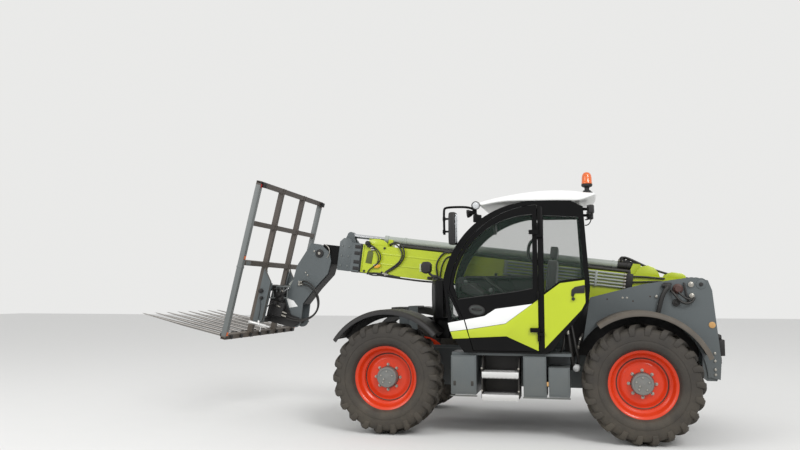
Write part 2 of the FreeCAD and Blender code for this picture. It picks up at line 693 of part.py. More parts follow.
def make_hub(end, side):
    """Hub: flange behind the disc, drum through it and a bored nose on the stub axle."""
    sign = sides[side]
    item = body(f"hub_{end}_{side}", axle_x[end], s.wheel_centre_side * sign, s.wheel_centre_up)
    bore = s.spindle_radius + s.spindle_fit
    inner = -s.hub_inner_in
    face = s.disc_out
    points = [(inner, bore), (s.spindle_out + 4, bore), (s.spindle_out + 4, 0),
              (s.hub_cap_out, 0), (s.hub_cap_out, s.hub_radius - 14),
              (s.hub_cap_out - 14, s.hub_radius), (face, s.hub_radius),
              (face, s.hub_flange_radius), (face - s.hub_flange_thick, s.hub_flange_radius),
              (face - s.hub_flange_thick, s.hub_inner_radius), (inner, s.hub_inner_radius)]
    if sign < 0:
        points = [(-dim(a), b) for a, b in reversed(points)]
    turned(item, "hub", "front", points)


def make_knuckle(end, side):
    """Steering knuckle: drum between the yoke's ears, steering pins, stub axle and arm."""
    sign = sides[side]
    item = body(f"knuckle_{end}_{side}", axle_x[end], s.kingpin_side * sign, s.wheel_centre_up)
    ear_face = s.yoke_half_height - s.yoke_ear
    drum = ear_face - s.yoke_gap
    disc(item, "drum", "plan", 0, 0, s.knuckle_radius, -drum, drum)
    disc(item, "pins", "plan", 0, 0, s.kingpin_radius, -s.yoke_half_height, s.yoke_half_height)
    reach = s.wheel_centre_side - s.kingpin_side
    root_end = (reach - s.hub_inner_in - 4) * sign
    tip = (reach + s.spindle_out) * sign
    first, second = (root_end, tip) if sign > 0 else (tip, root_end)
    disc(item, "stub", "side", 0, 0, s.spindle_radius, first, second)
    collar = (root_end, dim(0)) if sign < 0 else (dim(0), root_end)
    disc(item, "flange", "side", 0, 0, 80, collar[0], collar[1])


def make_axle(end):
    """Axle: differential housing, tubes and a yoke with bored ears at each end."""
    item = body(f"{end}_axle", axle_x[end], 0, s.wheel_centre_up)
    tube = s.axle_tube_radius
    bulb = s.axle_bulb_half
    root_side = s.kingpin_side - 150
    points = [(-root_side, 0), (root_side, 0), (root_side, tube), (bulb + 60, tube),
              (bulb, s.axle_bulb_radius), (-bulb, s.axle_bulb_radius), (-(bulb + 60), tube),
              (-root_side, tube)]
    turned(item, "housing", "front", points)
    seat = tube + s.frame_axle_gap
    both_sides(item, "frame_seat", "side", [(-60, 0), (60, 0), (60, seat), (-60, seat)],
               s.frame_half_width - s.frame_plate, s.frame_half_width + 10)
    h = s.yoke_half_height
    ear = s.yoke_ear
    inner = s.kingpin_side - 170
    back = s.kingpin_side - 95
    outer = s.kingpin_side + 48
    yoke = [(inner, -90), (inner + 30, -h), (outer, -h), (outer, -(h - ear)),
            (back, -(h - ear)), (back, h - ear), (outer, h - ear), (outer, h),
            (inner + 30, h), (inner, 90)]
    for side, sign in sides.items():
        points = [(dim(a) * sign, b) for a, b in yoke]
        if sign < 0:
            points.reverse()
        slab(item, f"yoke_{side}", "front", points, -s.yoke_half_length, s.yoke_half_length)
        disc(item, f"pin_bore_{side}", "plan", 0, s.kingpin_side * sign,
             s.kingpin_radius + s.kingpin_fit, -(h + 1), h + 1, cut=True)


def make_main_frame():
    """Main frame: two side plates arched over the axles, floor plates and outriggers."""
    item = body("main_frame")
    low, high = s.frame_low, s.frame_high
    arch = s.wheel_centre_up + s.axle_tube_radius + s.frame_axle_gap
    front, rear = axle_x["front"], axle_x["rear"]
    step = s.frame_neck_half
    plate = [(s.frame_tail, arch), (rear + step - 90, arch), (rear + step, low),
             (front - step, low), (front - step + 90, arch), (s.frame_nose, arch),
             (s.frame_nose, arch + 110), (s.frame_nose - 120, high), (s.frame_tail, high)]
    inner = s.frame_half_width - s.frame_plate
    both_sides(item, "side_plate", "side", plate, inner, s.frame_half_width)
    floor = s.frame_floor
    block(item, "belly", (rear + step, front - step), (-inner, inner), (low, low + floor))
    block(item, "nose", (s.frame_nose - floor, s.frame_nose), (-inner, inner),
          (arch, arch + 110))
    deck = s.wheel_centre_up + s.axle_bulb_radius + s.frame_axle_gap
    block(item, "front_deck", (front - 230, front + 230), (-inner, inner),
          (deck, deck + floor))
    block(item, "rear_deck", (s.lift_foot_x - 110, rear + 230), (-inner, inner),
          (deck, deck + floor))
    top = s.sill_up + s.sill_thick
    half = s.outrigger_long / 2
    for name, middle in (("front", s.outrigger_front), ("rear", s.outrigger_back)):
        both_sides(item, f"outrigger_{name}", "side",
                   [(middle - half, top - s.outrigger_high), (middle + half,
                    top - s.outrigger_high), (middle + half, top), (middle - half, top)],
                   s.frame_half_width, s.sill_inner)
    both_sides(item, "sill", "side", [(s.sill_back, s.sill_up), (s.sill_front, s.sill_up),
               (s.sill_front, top), (s.sill_back, top)], s.sill_inner, s.sill_outer)
    reach = s.hood_inner - s.hood_play
    wall_low = s.frame_high
    block(item, "bay_wall", (s.hood_back, s.hood_front), (-reach, -(reach - s.bay_wall)),
          (wall_low, s.hood_high - 20))
    block(item, "bay_wall_foot", (s.hood_back, s.hood_front), (-reach, -s.frame_half_width),
          (wall_low - 60, wall_low))
    hinge_y = -(s.hood_inner - s.hood_hinge_in)
    hinge_up = s.hood_high + s.hood_hinge_up
    for name, x in (("rear", s.hood_hinge_back), ("front", s.hood_hinge_front)):
        for end, start in (("aft", x - 34), ("fore", x + s.hood_eye_long + 4)):
            block(item, f"hood_ear_{name}_{end}", (start, start + 30), (hinge_y - 9, -(reach -
                  s.bay_wall)), (s.hood_high - 20, hinge_up + 10))
        disc(item, f"hood_pin_{name}", "front", hinge_y, hinge_up, s.hood_pin, x - 20,
             x + s.hood_eye_long + 20)
    lug_low = deck + floor
    gap = s.lift_eye + s.eye_play
    ear = [(s.lift_foot_x - 90, lug_low), (s.lift_foot_x + 90, lug_low),
           (s.lift_foot_x + s.eye_radius, s.lift_foot_up),
           (s.lift_foot_x - s.eye_radius, s.lift_foot_up)]
    both_sides(item, "lift_ear", "side", ear, gap, gap + s.ear_thick, {2: s.eye_radius})
    disc(item, "lift_pin", "side", s.lift_foot_x, s.lift_foot_up, s.eye_pin,
         -(gap + s.ear_thick), gap + s.ear_thick)
    post = [(front - 60, high), (front + 60, high), (front + 60, s.wheel_centre_up +
            s.fender_radius + s.fender_thick + 14), (front - 60, s.wheel_centre_up +
            s.fender_radius + s.fender_thick + 14)]
    both_sides(item, "fender_post", "side", post, inner, s.frame_half_width)


def make_rear_frame():
    """Rear tower: outer side plates, the boom's bearing plates and the tubes between them."""
    item = body("rear_frame")
    names = ["front", "rise", "ridge", "back", "shoulder", "tail", "tip", "foot"]
    corners = [s.corner("tower", name) for name in names]
    rear = axle_x["rear"]
    aft = 178
    fore = 34
    r = s.arch_radius
    start = (rear + r * cosine(aft), s.wheel_centre_up + r * sine(aft))
    stop = (rear + r * cosine(fore), s.wheel_centre_up + r * sine(fore))
    outline = corners + [start, stop]
    arcs = {len(corners): -r}
    outer = s.tower_outer
    both_sides(item, "side_plate", "side", outline, outer - s.tower_plate, outer, arcs)
    bearing_plate = [(s.frame_tail, s.frame_high - 40), (s.pivot_back + 560, s.frame_high - 40),
                     (s.pivot_back + 560, s.frame_high + 60), (s.pivot_back + s.pivot_boss,
                      s.pivot_up), (s.pivot_back - s.pivot_boss, s.pivot_up),
                     (s.pivot_back - s.pivot_boss, s.weight_high + 70),
                     (s.frame_tail, s.weight_high + 20)]
    inner = s.tower_inner
    both_sides(item, "bearing_plate", "side", bearing_plate, inner, inner + s.tower_plate,
               {3: s.pivot_boss})
    for side, sign in sides.items():
        low, high = sorted([inner * sign, outer * sign], key=lambda d: d.value)
        disc(item, f"boss_{side}", "side", s.pivot_back, s.pivot_up, s.pivot_boss - 14, low, high)
    disc(item, "pivot_bore", "side", s.pivot_back, s.pivot_up, s.pivot_radius + s.pivot_fit,
         -(outer + 1), outer + 1, cut=True)
    tie = [(rear - 80, s.wheel_centre_up + r + 60), (rear + 80, s.wheel_centre_up + r + 60),
           (rear + 80, s.wheel_centre_up + r + 90), (rear - 80, s.wheel_centre_up + r + 90)]
    both_sides(item, "tie", "side", tie, inner + s.tower_plate, outer - s.tower_plate)
    web = [(s.tower_tail_x + 60, s.weight_high), (s.tower_tail_x + 84, s.weight_high),
           (s.tower_shoulder_x + 84, s.tower_shoulder_up), (s.tower_shoulder_x + 60,
            s.tower_shoulder_up)]
    both_sides(item, "rear_web", "side", web, inner + s.tower_plate, outer - s.tower_plate)


def make_counterweight():
    """Counterweight between the rear side plates, with holes for a bolted plate."""
    item = body("counterweight")
    half = s.tower_outer - s.tower_plate
    outline = [(s.weight_back + 20, s.weight_low), (s.weight_front - 40, s.weight_low),
               (s.weight_front, s.weight_low + 60), (s.weight_front, s.weight_high),
               (s.weight_back, s.weight_high), (s.weight_back, s.weight_low + 60)]
    slab(item, "weight", "side", outline, -half, half)
    for across in (-1, 1):
        for rise in (-1, 1):
            disc(item, f"hole_{across + 1}_{rise + 1}", "front",
                 s.plate_hole_across / 2 * across, s.plate_hole_up + s.plate_hole_high / 2 * rise,
                 s.plate_hole, s.weight_back - 1, s.weight_back + s.plate_hole_deep, cut=True)


def make_tow_hitch():
    """Tow hitch: a jaw with a vertical pin hole, flanged to the counterweight."""
    item = body("tow_hitch")
    low = s.hitch_up
    top = low + s.hitch_jaw * 2 + s.hitch_mouth
    side = s.hitch_side
    block(item, "jaw", (s.hitch_back, s.weight_back), (-side, side), (low, top))
    block(item, "mouth", (s.hitch_back - 1, s.weight_back - 30), (-(side + 1), side + 1),
          (low + s.hitch_jaw, top - s.hitch_jaw), cut=True)
    block(item, "flange", (s.weight_back - 18, s.weight_back), (-(side + 50), side + 50),
          (low - 30, top + 30))
    disc(item, "pin_hole", "plan", s.hitch_back + 48, 0, s.hitch_hole, low - 1, top + 1,
         cut=True)


def make_rear_lamps():
    """Tail lamps on short arms behind the side plates."""
    item = body("rear_lamps")
    x = s.weight_back
    both_sides(item, "lamp", "side", [(x - 62, 900), (x, 880), (x, 1010), (x - 62, 990)],
               300, 500)


def make_fenders(end):
    """Mudguards: a curved sheet with a turned-down outer edge on each side."""
    item = body(f"{end}_fenders")
    fore, aft = ((s.front_fender_fore, s.front_fender_aft) if end == "front"
                 else (180 - s.rear_fender_fore, 180 - s.rear_fender_aft))
    inner = s.fender_radius
    outer = s.fender_radius + s.fender_thick
    x, up = axle_x[end], s.wheel_centre_up
    points, arcs = sector(x, up, inner, outer, fore, aft)
    reach = s.fender_inner if end == "front" else s.tower_outer
    both_sides(item, "sheet", "side", points, reach, s.fender_outer, arcs)
    points, arcs = sector(x, up, inner - s.fender_lip + s.fender_thick, outer, fore, aft)
    both_sides(item, "lip", "side", points, s.fender_outer - s.fender_edge, s.fender_outer, arcs)
    if end == "front":
        top = up + outer
        both_sides(item, "bracket", "side", [(x - 60, top - 6), (x + 60, top - 6),
                   (x + 60, top + 14), (x - 60, top + 14)], s.frame_half_width,
                   s.fender_inner + 60)


def make_engine():
    """Engine block on the right, under the hood."""
    item = body("engine_block")
    half = s.engine_long / 2
    base = s.sill_up + s.sill_thick
    block(item, "engine", (s.engine_x - half, s.engine_x + half),
          (-(s.engine_side + s.engine_wide / 2), -(s.engine_side - s.engine_wide / 2)),
          (base, base + s.engine_high))


def make_hood():
    """Engine hood: top, outer side and ends as one shell, hinged along its inner top edge."""
    item = body("engine_hood")
    outer, inner = -s.hood_outer, -s.hood_inner
    low, high = s.hood_low, s.hood_high
    corner = s.hood_corner
    wall = s.hood_wall
    profile = [(outer, low), (inner, low), (inner, high), (outer + corner, high),
               (outer, high - corner)]
    slab(item, "shell", "front", profile, s.hood_back, s.hood_front, {3: corner})
    hollow = [(outer + wall, low - 1), (inner + 1, low - 1), (inner + 1, high - wall),
              (outer + corner, high - wall), (outer + wall, high - corner)]
    slab(item, "inside", "front", hollow, s.hood_back + wall, s.hood_front - wall,
         {3: corner - wall}, cut=True)
    count = int(s.louvre_count.value)
    for number in range(count):
        up = low + s.louvre_low + s.louvre_step * number
        louvre = [(outer + wall / 2, up), (outer, up), (outer - s.louvre_proud, up + 4),
                  (outer, up + s.louvre_high), (outer + wall / 2, up + s.louvre_high)]
        slab(item, f"louvre_{number}", "front", louvre, s.hood_back + s.louvre_margin,
             s.hood_back + s.louvre_margin + s.louvre_long)
    hinge_y = inner + s.hood_hinge_in
    hinge_up = high + s.hood_hinge_up
    for name, x in (("rear", s.hood_hinge_back), ("front", s.hood_hinge_front)):
        arm = [(inner - 60, high), (hinge_y - 4, high - 8), (hinge_y, hinge_up + s.hood_eye / 2),
               (inner - 60, high + 8)]
        slab(item, f"hinge_arm_{name}", "front", arm, x, x + s.hood_eye_long)
        disc(item, f"hinge_eye_{name}", "front", hinge_y, hinge_up, s.hood_eye / 2 + 5, x,
             x + s.hood_eye_long)
        disc(item, f"hinge_bore_{name}", "front", hinge_y, hinge_up, s.hood_pin + s.pivot_fit,
             x - 1, x + s.hood_eye_long + 1, cut=True)


def make_fuel_tank():
    """Fuel tank under the hood side's sill."""
    item = body("fuel_tank")
    block(item, "tank", (s.sill_back + 40, s.sill_front - 60), (-s.box_outer, -s.box_inner),
          (s.frame_low, s.sill_up))


def make_side_boxes():
    """Boxes that hang from the sill under the cab."""
    item = body("side_boxes")
    table = s.__dict__
    for name in ("front", "middle", "rear"):
        back, front = table[f"box_{name}_back"], table[f"box_{name}_front"]
        low, high = table[f"box_{name}_low"], table[f"box_{name}_high"]
        block(item, f"{name}_box", (back, front), (s.box_inner, s.box_outer), (low, high))
    block(item, "hanger", (s.box_rear_back, s.box_rear_front), (s.box_inner, s.box_inner + 60),
          (s.box_rear_high, s.sill_up))


def make_step_ladder():
    """Two aluminium treads between side plates that hang from the sill."""
    item = body("step_ladder")
    t = s.step_plate
    low = s.tread_lower
    inner, outer = s.step_inner, s.step_outer
    hang = s.sill_outer - 60
    stringer = [(inner, low), (outer, low), (outer, s.tread_upper + s.tread_thick),
                (hang, s.sill_up), (inner, s.sill_up)]
    slab(item, "stringer_rear", "front", stringer, s.step_left, s.step_left + t)
    slab(item, "stringer_front", "front", stringer, s.step_right - t, s.step_right)
    for name, up in (("lower", s.tread_lower), ("upper", s.tread_upper)):
        block(item, f"tread_{name}", (s.step_left + t, s.step_right - t), (inner + 60, outer),
              (up, up + s.tread_thick))
    block(item, "back_panel", (s.step_left + t, s.step_right - t), (inner, inner + 10),
          (low, s.sill_up))


def cab_outline():
    names = ["sill_aft", "sill_fore", "toe", "knee", "brow", "crown", "crest", "nape", "belt",
             "hip", "heel"]
    return [s.corner("cab", name) for name in names], {4: s.cab_arc}


def arc_top(x):
    """The point of the cab's front curve at a place forward."""
    centre = arc_centre(s.corner("cab", "brow"), s.corner("cab", "crown"), s.cab_arc)
    off = x - centre[0]
    return x, centre[1] + root(s.cab_arc * s.cab_arc - off * off)


def door_outline(grow=0):
    """The door's outline; grow widens it for the opening in the cab's wall."""
    grow = dim(grow)
    rim = s.cab_rim - grow
    foot_x, foot_up = s.corner("door", "foot")
    shin_x, shin_up = s.corner("door", "shin")
    lap_x, lap_up = s.corner("door", "lap")
    hinge = s.pillar_front - grow + s.door_gap
    crown_x, crown_up = s.corner("cab", "crown")
    points = [(hinge, foot_up - grow), (foot_x + grow, foot_up - grow), (shin_x + grow, shin_up),
              (lap_x + grow, lap_up), (hinge, crown_up - rim - 4)]
    return points, {3: s.cab_arc - rim}


def pane_outline():
    """The door's window."""
    names = ["low_aft", "low_mid", "low_fore"]
    points = [s.corner("pane", name) for name in names]
    lap_x, lap_up = s.corner("door", "lap")
    crown_up = s.cab_crown_up
    points.append((lap_x - 34, lap_up + 60))
    points.append((s.pane_low_aft_x, crown_up - s.cab_rim * 2 - 62))
    return points, {3: s.cab_arc - s.cab_rim * 2 - 60}


def quarter_outline():
    """The window behind the middle pillar."""
    names = ["low_aft", "low_mid", "low_fore"]
    points = [s.corner("quarter", name) for name in names]
    points.append((s.pillar_back, s.cab_crest_up - 150))
    points.append((s.cab_nape_x + 46, s.cab_nape_up - 110))
    return points, {}


def front_quarter_outline():
    """The small window ahead of the door."""
    shin_x, shin_up = s.corner("door", "shin")
    lap_x, lap_up = s.corner("door", "lap")
    return [(shin_x + 60, shin_up + 40), (s.cab_knee_x - 34, s.cab_knee_up + 20),
            (s.cab_brow_x - 46, s.cab_brow_up - 90), (lap_x + 16, lap_up - 40)], {}


def make_cab_frame():
    """Cab frame: both side walls with their openings, and the members between them."""
    item = body("cab_frame")
    outline, arcs = cab_outline()
    outer, skin = s.cab_outer, s.cab_skin
    inner = s.cab_inner
    slab(item, "outer_wall", "side", outline, outer - skin, outer, arcs)
    points, bends = door_outline(s.door_gap)
    slab(item, "door_way", "side", points, outer - skin - 1, outer + 1, bends, cut=True)
    points, bends = quarter_outline()
    slab(item, "quarter_way", "side", points, outer - skin - 1, outer + 1, bends, cut=True)
    points, bends = front_quarter_outline()
    slab(item, "front_quarter_way", "side", points, outer - skin - 1, outer + 1, bends,
         cut=True)
    slab(item, "inner_wall", "side", outline, inner, inner + skin, arcs)
    right_way = [(s.cab_hip_x + 60, s.cab_belt_up - 60), (s.cab_knee_x - 60, s.cab_knee_up + 160),
                 (s.cab_brow_x - 80, s.cab_brow_up), (s.cab_crown_x + 150, s.cab_crown_up - 130),
                 (s.cab_nape_x + 70, s.cab_nape_up - 60)]
    slab(item, "right_way", "side", right_way, inner - 1, inner + skin + 1,
         {2: s.cab_arc - 40}, cut=True)
    span = (inner + skin, outer - skin)
    t = s.tub_wall
    crown_x, crown_up = s.corner("cab", "crown")
    nape_x, nape_up = s.corner("cab", "nape")
    belt_x, belt_up = s.corner("cab", "belt")
    knee_x, knee_up = s.corner("cab", "knee")
    block(item, "roof_bow_front", (crown_x + 120, crown_x + 200), span,
          (crown_up - 60, crown_up - 26))
    block(item, "roof_bow_rear", (nape_x + 12, nape_x + 82), span, (nape_up - 50, nape_up + 4))
    block(item, "rear_sill", (belt_x + 8, belt_x + 64), span, (belt_up, belt_up + 50))
    block(item, "front_sill", (knee_x - 62, knee_x - 14), span, (knee_up, knee_up + 40))
    rear_lug = s.pillar_front
    hinge_y = outer + s.hinge_out
    for name, up in (("lower", 1080), ("upper", 2120)):
        span = (dim(up), dim(up) + 30)
        block(item, f"hinge_leaf_{name}", (rear_lug - 60, rear_lug), (outer, hinge_y + 16), span)
        block(item, f"hinge_eye_{name}", (rear_lug - 2, rear_lug + 14),
              (hinge_y - 12, hinge_y + 16), span)
        disc(item, f"hinge_pin_{name}", "plan", rear_lug, hinge_y, s.hinge_pin, dim(up),
             dim(up) + 84)


def make_cab_tub():
    """Cab's lower shell: floor, sloping back and toe panel between the side walls."""
    item = body("cab_tub")
    t = s.tub_wall
    names = ["belt", "hip", "heel", "sill_aft", "sill_fore", "toe", "knee"]
    corners = [s.corner("cab", name) for name in names]
    lift = [(t, -(t * 0.4)), (t, t * 0.2), (t * 0.5, t * 0.9), (0, t), (-(t * 0.4), t),
            (-t, t * 0.5), (-t, -(t * 0.2))]
    back = [(x + dx, up + dz) for (x, up), (dx, dz) in zip(corners, lift)]
    outline = corners + list(reversed(back))
    outline = list(reversed(outline))
    slab(item, "shell", "side", outline, s.cab_inner + s.cab_skin, s.cab_outer - s.cab_skin)


def make_side_panel():
    """Painted panel behind the middle pillar, with a recess for the lock."""
    item = body("cab_side_panel")
    quarter = [s.corner("quarter", name) for name in ("low_fore", "low_mid", "low_aft")]
    (fore_x, fore_up), (mid_x, mid_up), (aft_x, aft_up) = quarter
    heel_x, heel_up = s.corner("cab", "heel")
    hip_x, hip_up = s.corner("cab", "hip")
    outline = [(s.pillar_back, heel_up + 20), (s.pillar_back, fore_up - 24),
               (mid_x, mid_up - 26), (aft_x, aft_up - 26), (hip_x + 30, hip_up + 16),
               (hip_x + 70, hip_up - 60)]
    outline.reverse()
    slab(item, "panel", "side", outline, s.cab_outer, s.cab_outer + 10)


def make_cab_glass():
    """Fixed glass: windscreen, rear screen, side window and the quarter windows."""
    item = body("cab_glass")
    g = s.glass_thick
    skin = s.cab_skin
    inner, outer = s.cab_inner, s.cab_outer
    knee_x, knee_up = s.corner("cab", "knee")
    brow_x, brow_up = s.corner("cab", "brow")
    crown_x, crown_up = s.corner("cab", "crown")
    screen = [(knee_x - 14, knee_up), (knee_x - 14 + g, knee_up), (brow_x - 14 + g, brow_up),
              (crown_x + 200, crown_up - 26), (crown_x + 200, crown_up - 26 - g),
              (brow_x - 14, brow_up)]
    slab(item, "windscreen", "side", screen, inner + skin, outer - skin,
         {2: s.cab_arc - 14, 4: -(s.cab_arc - 14 - g)})
    belt_x, belt_up = s.corner("cab", "belt")
    nape_x, nape_up = s.corner("cab", "nape")
    rear = [(belt_x + 20, belt_up + 50), (belt_x + 20 + g, belt_up + 50),
            (nape_x + 20 + g, nape_up - 50), (nape_x + 20, nape_up - 50)]
    slab(item, "rear_screen", "side", rear, inner + skin, outer - skin)
    points, bends = quarter_outline()
    slab(item, "quarter", "side", points, outer - 20, outer - 20 + g, bends)
    points, bends = front_quarter_outline()
    slab(item, "front_quarter", "side", points, outer - 20, outer - 20 + g, bends)
    right_way = [(s.cab_hip_x + 60, s.cab_belt_up - 60), (s.cab_knee_x - 60, s.cab_knee_up + 160),
                 (s.cab_brow_x - 80, s.cab_brow_up), (s.cab_crown_x + 150, s.cab_crown_up - 130),
                 (s.cab_nape_x + 70, s.cab_nape_up - 60)]
    slab(item, "right_window", "side", right_way, inner + 16, inner + 16 + g,
         {2: s.cab_arc - 40})


def make_cab_roof():
    """Roof cap, with its rear edge turned up."""
    item = body("cab_roof")
    names = ["nose", "rise", "top", "fall", "tip", "under"]
    corners = [s.corner("roof", name) for name in names]
    crown_x, crown_up = s.corner("cab", "crown")
    crest_x, crest_up = s.corner("cab", "crest")
    outline = corners + [(crest_x, crest_up), (crown_x, crown_up),
                         arc_top(crown_x + s.roof_reach)]
    slab(item, "cap", "side", outline, s.cab_inner - s.roof_overhang,
         s.cab_outer + s.roof_overhang, {7: -s.cab_arc})
    x, up = s.beacon_x, s.beacon_foot
    block(item, "beacon_seat", (x - 66, x + 66), (s.beacon_side - 66, s.beacon_side + 66),
          (up - 40, up))


def make_door():
    """Cab door: lower panel and frame round the window, with hinge eyes."""
    item = body("cab_door")
    points, bends = door_outline()
    outer, skin = s.cab_outer, s.cab_skin
    slab(item, "leaf", "side", points, outer - skin, outer, bends)
    points, bends = pane_outline()
    slab(item, "window", "side", points, outer - skin - 1, outer + 1, bends, cut=True)
    hinge_y = outer + s.hinge_out
    for name, up in (("lower", 1080), ("upper", 2120)):
        low = dim(up) + 34
        block(item, f"hinge_arm_{name}", (s.pillar_front, s.pillar_front + 90),
              (outer, hinge_y + 16), (low, low + 46))
        block(item, f"hinge_eye_{name}", (s.pillar_front - 14, s.pillar_front + 2),
              (hinge_y - 12, hinge_y + 16), (low, low + 46))
        disc(item, f"hinge_bore_{name}", "plan", s.pillar_front, hinge_y,
             s.hinge_pin + s.pivot_fit, low - 1, low + 47, cut=True)


def make_door_glass():
    """Window in the door."""
    item = body("door_glass")
    points, bends = pane_outline()
    slab(item, "pane", "side", points, s.cab_outer - 20, s.cab_outer - 20 + s.glass_thick, bends)


def make_seat():
    """Driver's seat: console, cushion and back."""
    item = body("seat")
    floor = s.cab_sill_fore_up + s.tub_wall
    middle = (s.cab_inner + s.cab_outer) / 2
    block(item, "console", (-360, -60), (middle - 190, middle + 190), (floor, floor + 330))
    block(item, "cushion", (-440, 60), (middle - 250, middle + 250), (floor + 330, floor + 450))
    back = [(-500, floor + 430), (-370, floor + 430), (-440, floor + 1080), (-540, floor + 1080)]
    slab(item, "back", "side", back, middle - 240, middle + 240)


def make_steering():
    """Steering column and wheel, in a frame that leans with the wheel."""
    middle = (s.cab_inner + s.cab_outer) / 2
    x, up = s.steer_wheel_x, s.steer_wheel_up
    lean, reach, rim = s.steer_wheel_lean, s.steer_wheel_radius, s.steer_wheel_rim
    item = body("steering_column", x, middle, up, lean)
    disc(item, "wheel", "plan", 0, 0, reach, -(rim / 2), rim / 2)
    disc(item, "wheel_way", "plan", 0, 0, reach - rim, -(rim / 2) - 1, rim / 2 + 1, cut=True)
    across = reach - rim / 2
    block(item, "spoke_across", (-16, 16), (-across, across), (-9, 9))
    block(item, "spoke_rear", (-across, 0), (-16, 16), (-9, 9))
    floor = s.cab_sill_fore_up + s.tub_wall
    column = []
    for dx, height in ((140, floor), (295, floor), (190, up - 210), (15, up + 8),
                       (-20, up - 16), (110, up - 250)):
        dz = height - up
        column.append((cosine(lean) * dx + sine(lean) * dz, cosine(lean) * dz - sine(lean) * dx))
    slab(item, "column", "side", column, -42, 42)


def make_dash():
    """Dashboard along the inner wall with the controls."""
    item = body("dash_console")
    floor = s.cab_sill_fore_up + s.tub_wall
    wall = s.cab_inner + s.cab_skin
    block(item, "console", (-360, 120), (wall, wall + 110), (floor, floor + 560))


def make_lamps():
    """Work lamps and headlamps, with their arms."""
    item = body("work_lamps")
    nape_x, nape_up = s.corner("cab", "nape")
    for name, y in (("left", s.cab_outer - 80), ("right", s.cab_inner + 80)):
        block(item, f"rear_{name}", (nape_x - 140, nape_x - 60), (y - 60, y + 60),
              (nape_up - 90, nape_up + 20))
        block(item, f"rear_arm_{name}", (nape_x - 60, nape_x + 12), (y - 15, y + 15),
              (nape_up - 30, nape_up))


def make_beacon():
    """Warning beacon on the roof."""
    item = body("beacon")
    x, side, up = s.beacon_x, s.beacon_side, s.beacon_foot
    disc(item, "stem", "plan", x, side, s.beacon_stem, up, up + s.beacon_stem_high)
    disc(item, "dome", "plan", x, side, s.beacon_radius, up + s.beacon_stem_high,
         up + s.beacon_high)


def make_mirror():
    """Rear-view mirror on an arm from the front of the roof."""
    item = body("mirror")
    y = s.cab_outer
    block(item, "foot", (280, 330), (y, y + 16), (2290, 2320))
    block(item, "riser", (300, 330), (y, y + 24), (2320, 2475))
    block(item, "arm", (330, 700), (y, y + 24), (2451, 2475))
    block(item, "drop", (676, 700), (y, y + 24), (2160, 2451))
    block(item, "head", (600, 676), (y - 60, y + 110), (2050, 2410))


def boom_section(item, name, back, front, width, height, wall, middle):
    """A rectangular boom tube, open at both ends."""
    half = width / 2
    low, high = middle - height / 2, middle + height / 2
    block(item, name, (back, front), (-half, half), (low, high))
    block(item, name + "_inside", (back - 1, front + 1), (-(half - wall), half - wall),
          (low + wall, high - wall), cut=True)


def split_pin(item, name, along, up, gap):
    """The ends of a pin in a pair of ears; the length between them turns with the eye."""
    for side, sign in (("left", 1), ("right", -1)):
        low, high = sorted([gap * sign, (gap + s.ear_thick + 8) * sign], key=lambda d: d.value)
        disc(item, f"{name}_{side}", "side", along, up, s.eye_pin, low, high)


def make_boom_base():
    """Boom base: rear lugs with the pivot pin, square tube and wear pads in its mouth."""
    item = body("boom_base", **boom_place)
    half = s.base_width / 2
    boom_section(item, "tube", s.base_back, s.base_front, s.base_width, s.base_height,
                 s.base_wall, boom_middle)
    disc(item, "pivot_pin", "side", 0, 0, s.pivot_radius, -(s.tower_outer - 6),
         s.tower_outer - 6)
    inside = s.base_height / 2 - s.base_wall
    slide = s.mid_height / 2 + s.pad_play
    front = s.base_front
    for name, low, high in (("top", boom_middle + slide, boom_middle + inside),
                            ("bottom", boom_middle - inside, boom_middle - slide)):
        block(item, f"pad_{name}", (front - s.pad_long, front), (-s.pad_wide / 2,
              s.pad_wide / 2), (low, high))
    gap = s.lift_eye + s.eye_play
    along, off = s.lift_head_along, -s.lift_head_down
    low = boom_middle - s.base_height / 2
    ear = [(along - s.eye_radius, off), (along + s.eye_radius, off), (along + 130, low),
           (along - 130, low)]
    both_sides(item, "lift_ear", "side", ear, gap, gap + s.ear_thick, {0: s.eye_radius})
    split_pin(item, "lift_pin", along, off, gap)
    pin = s.ram_back + s.ram_end_wall / 2
    near = s.ram_radius + s.pad_play
    ram_ear = [(pin - 80, s.base_top), (pin + 80, s.base_top), (pin + 40, s.ram_up + 30),
               (pin - 40, s.ram_up + 30)]
    both_sides(item, "ram_ear", "side", ram_ear, near, near + s.ear_thick)
    disc(item, "ram_pin", "side", pin, s.ram_up, s.eye_pin, -(near + s.ear_thick),
         near + s.ear_thick)
    block(item, "ram_saddle", (s.ram_front - 120, s.ram_front - 60), (-(near + 14), near + 14),
          (s.base_top, s.ram_up))
    disc(item, "ram_seat", "front", 0, s.ram_up, near, s.ram_front - 121, s.ram_front - 59,
         cut=True)


def make_telescope_barrel():
    """Telescope cylinder's tube on top of the boom base, bored for its rod."""
    item = body("telescope_barrel", **boom_place)
    back, front, up = s.ram_back, s.ram_front, s.ram_up
    disc(item, "tube", "front", 0, up, s.ram_radius, back, front)
    disc(item, "bore", "front", 0, up, s.ram_rod_radius + s.rod_fit, back + s.ram_end_wall,
         front + 1, cut=True)
    disc(item, "pin_bore", "side", back + s.ram_end_wall / 2, up, s.eye_pin + s.pivot_fit,
         -(s.ram_radius + 1), s.ram_radius + 1, cut=True)


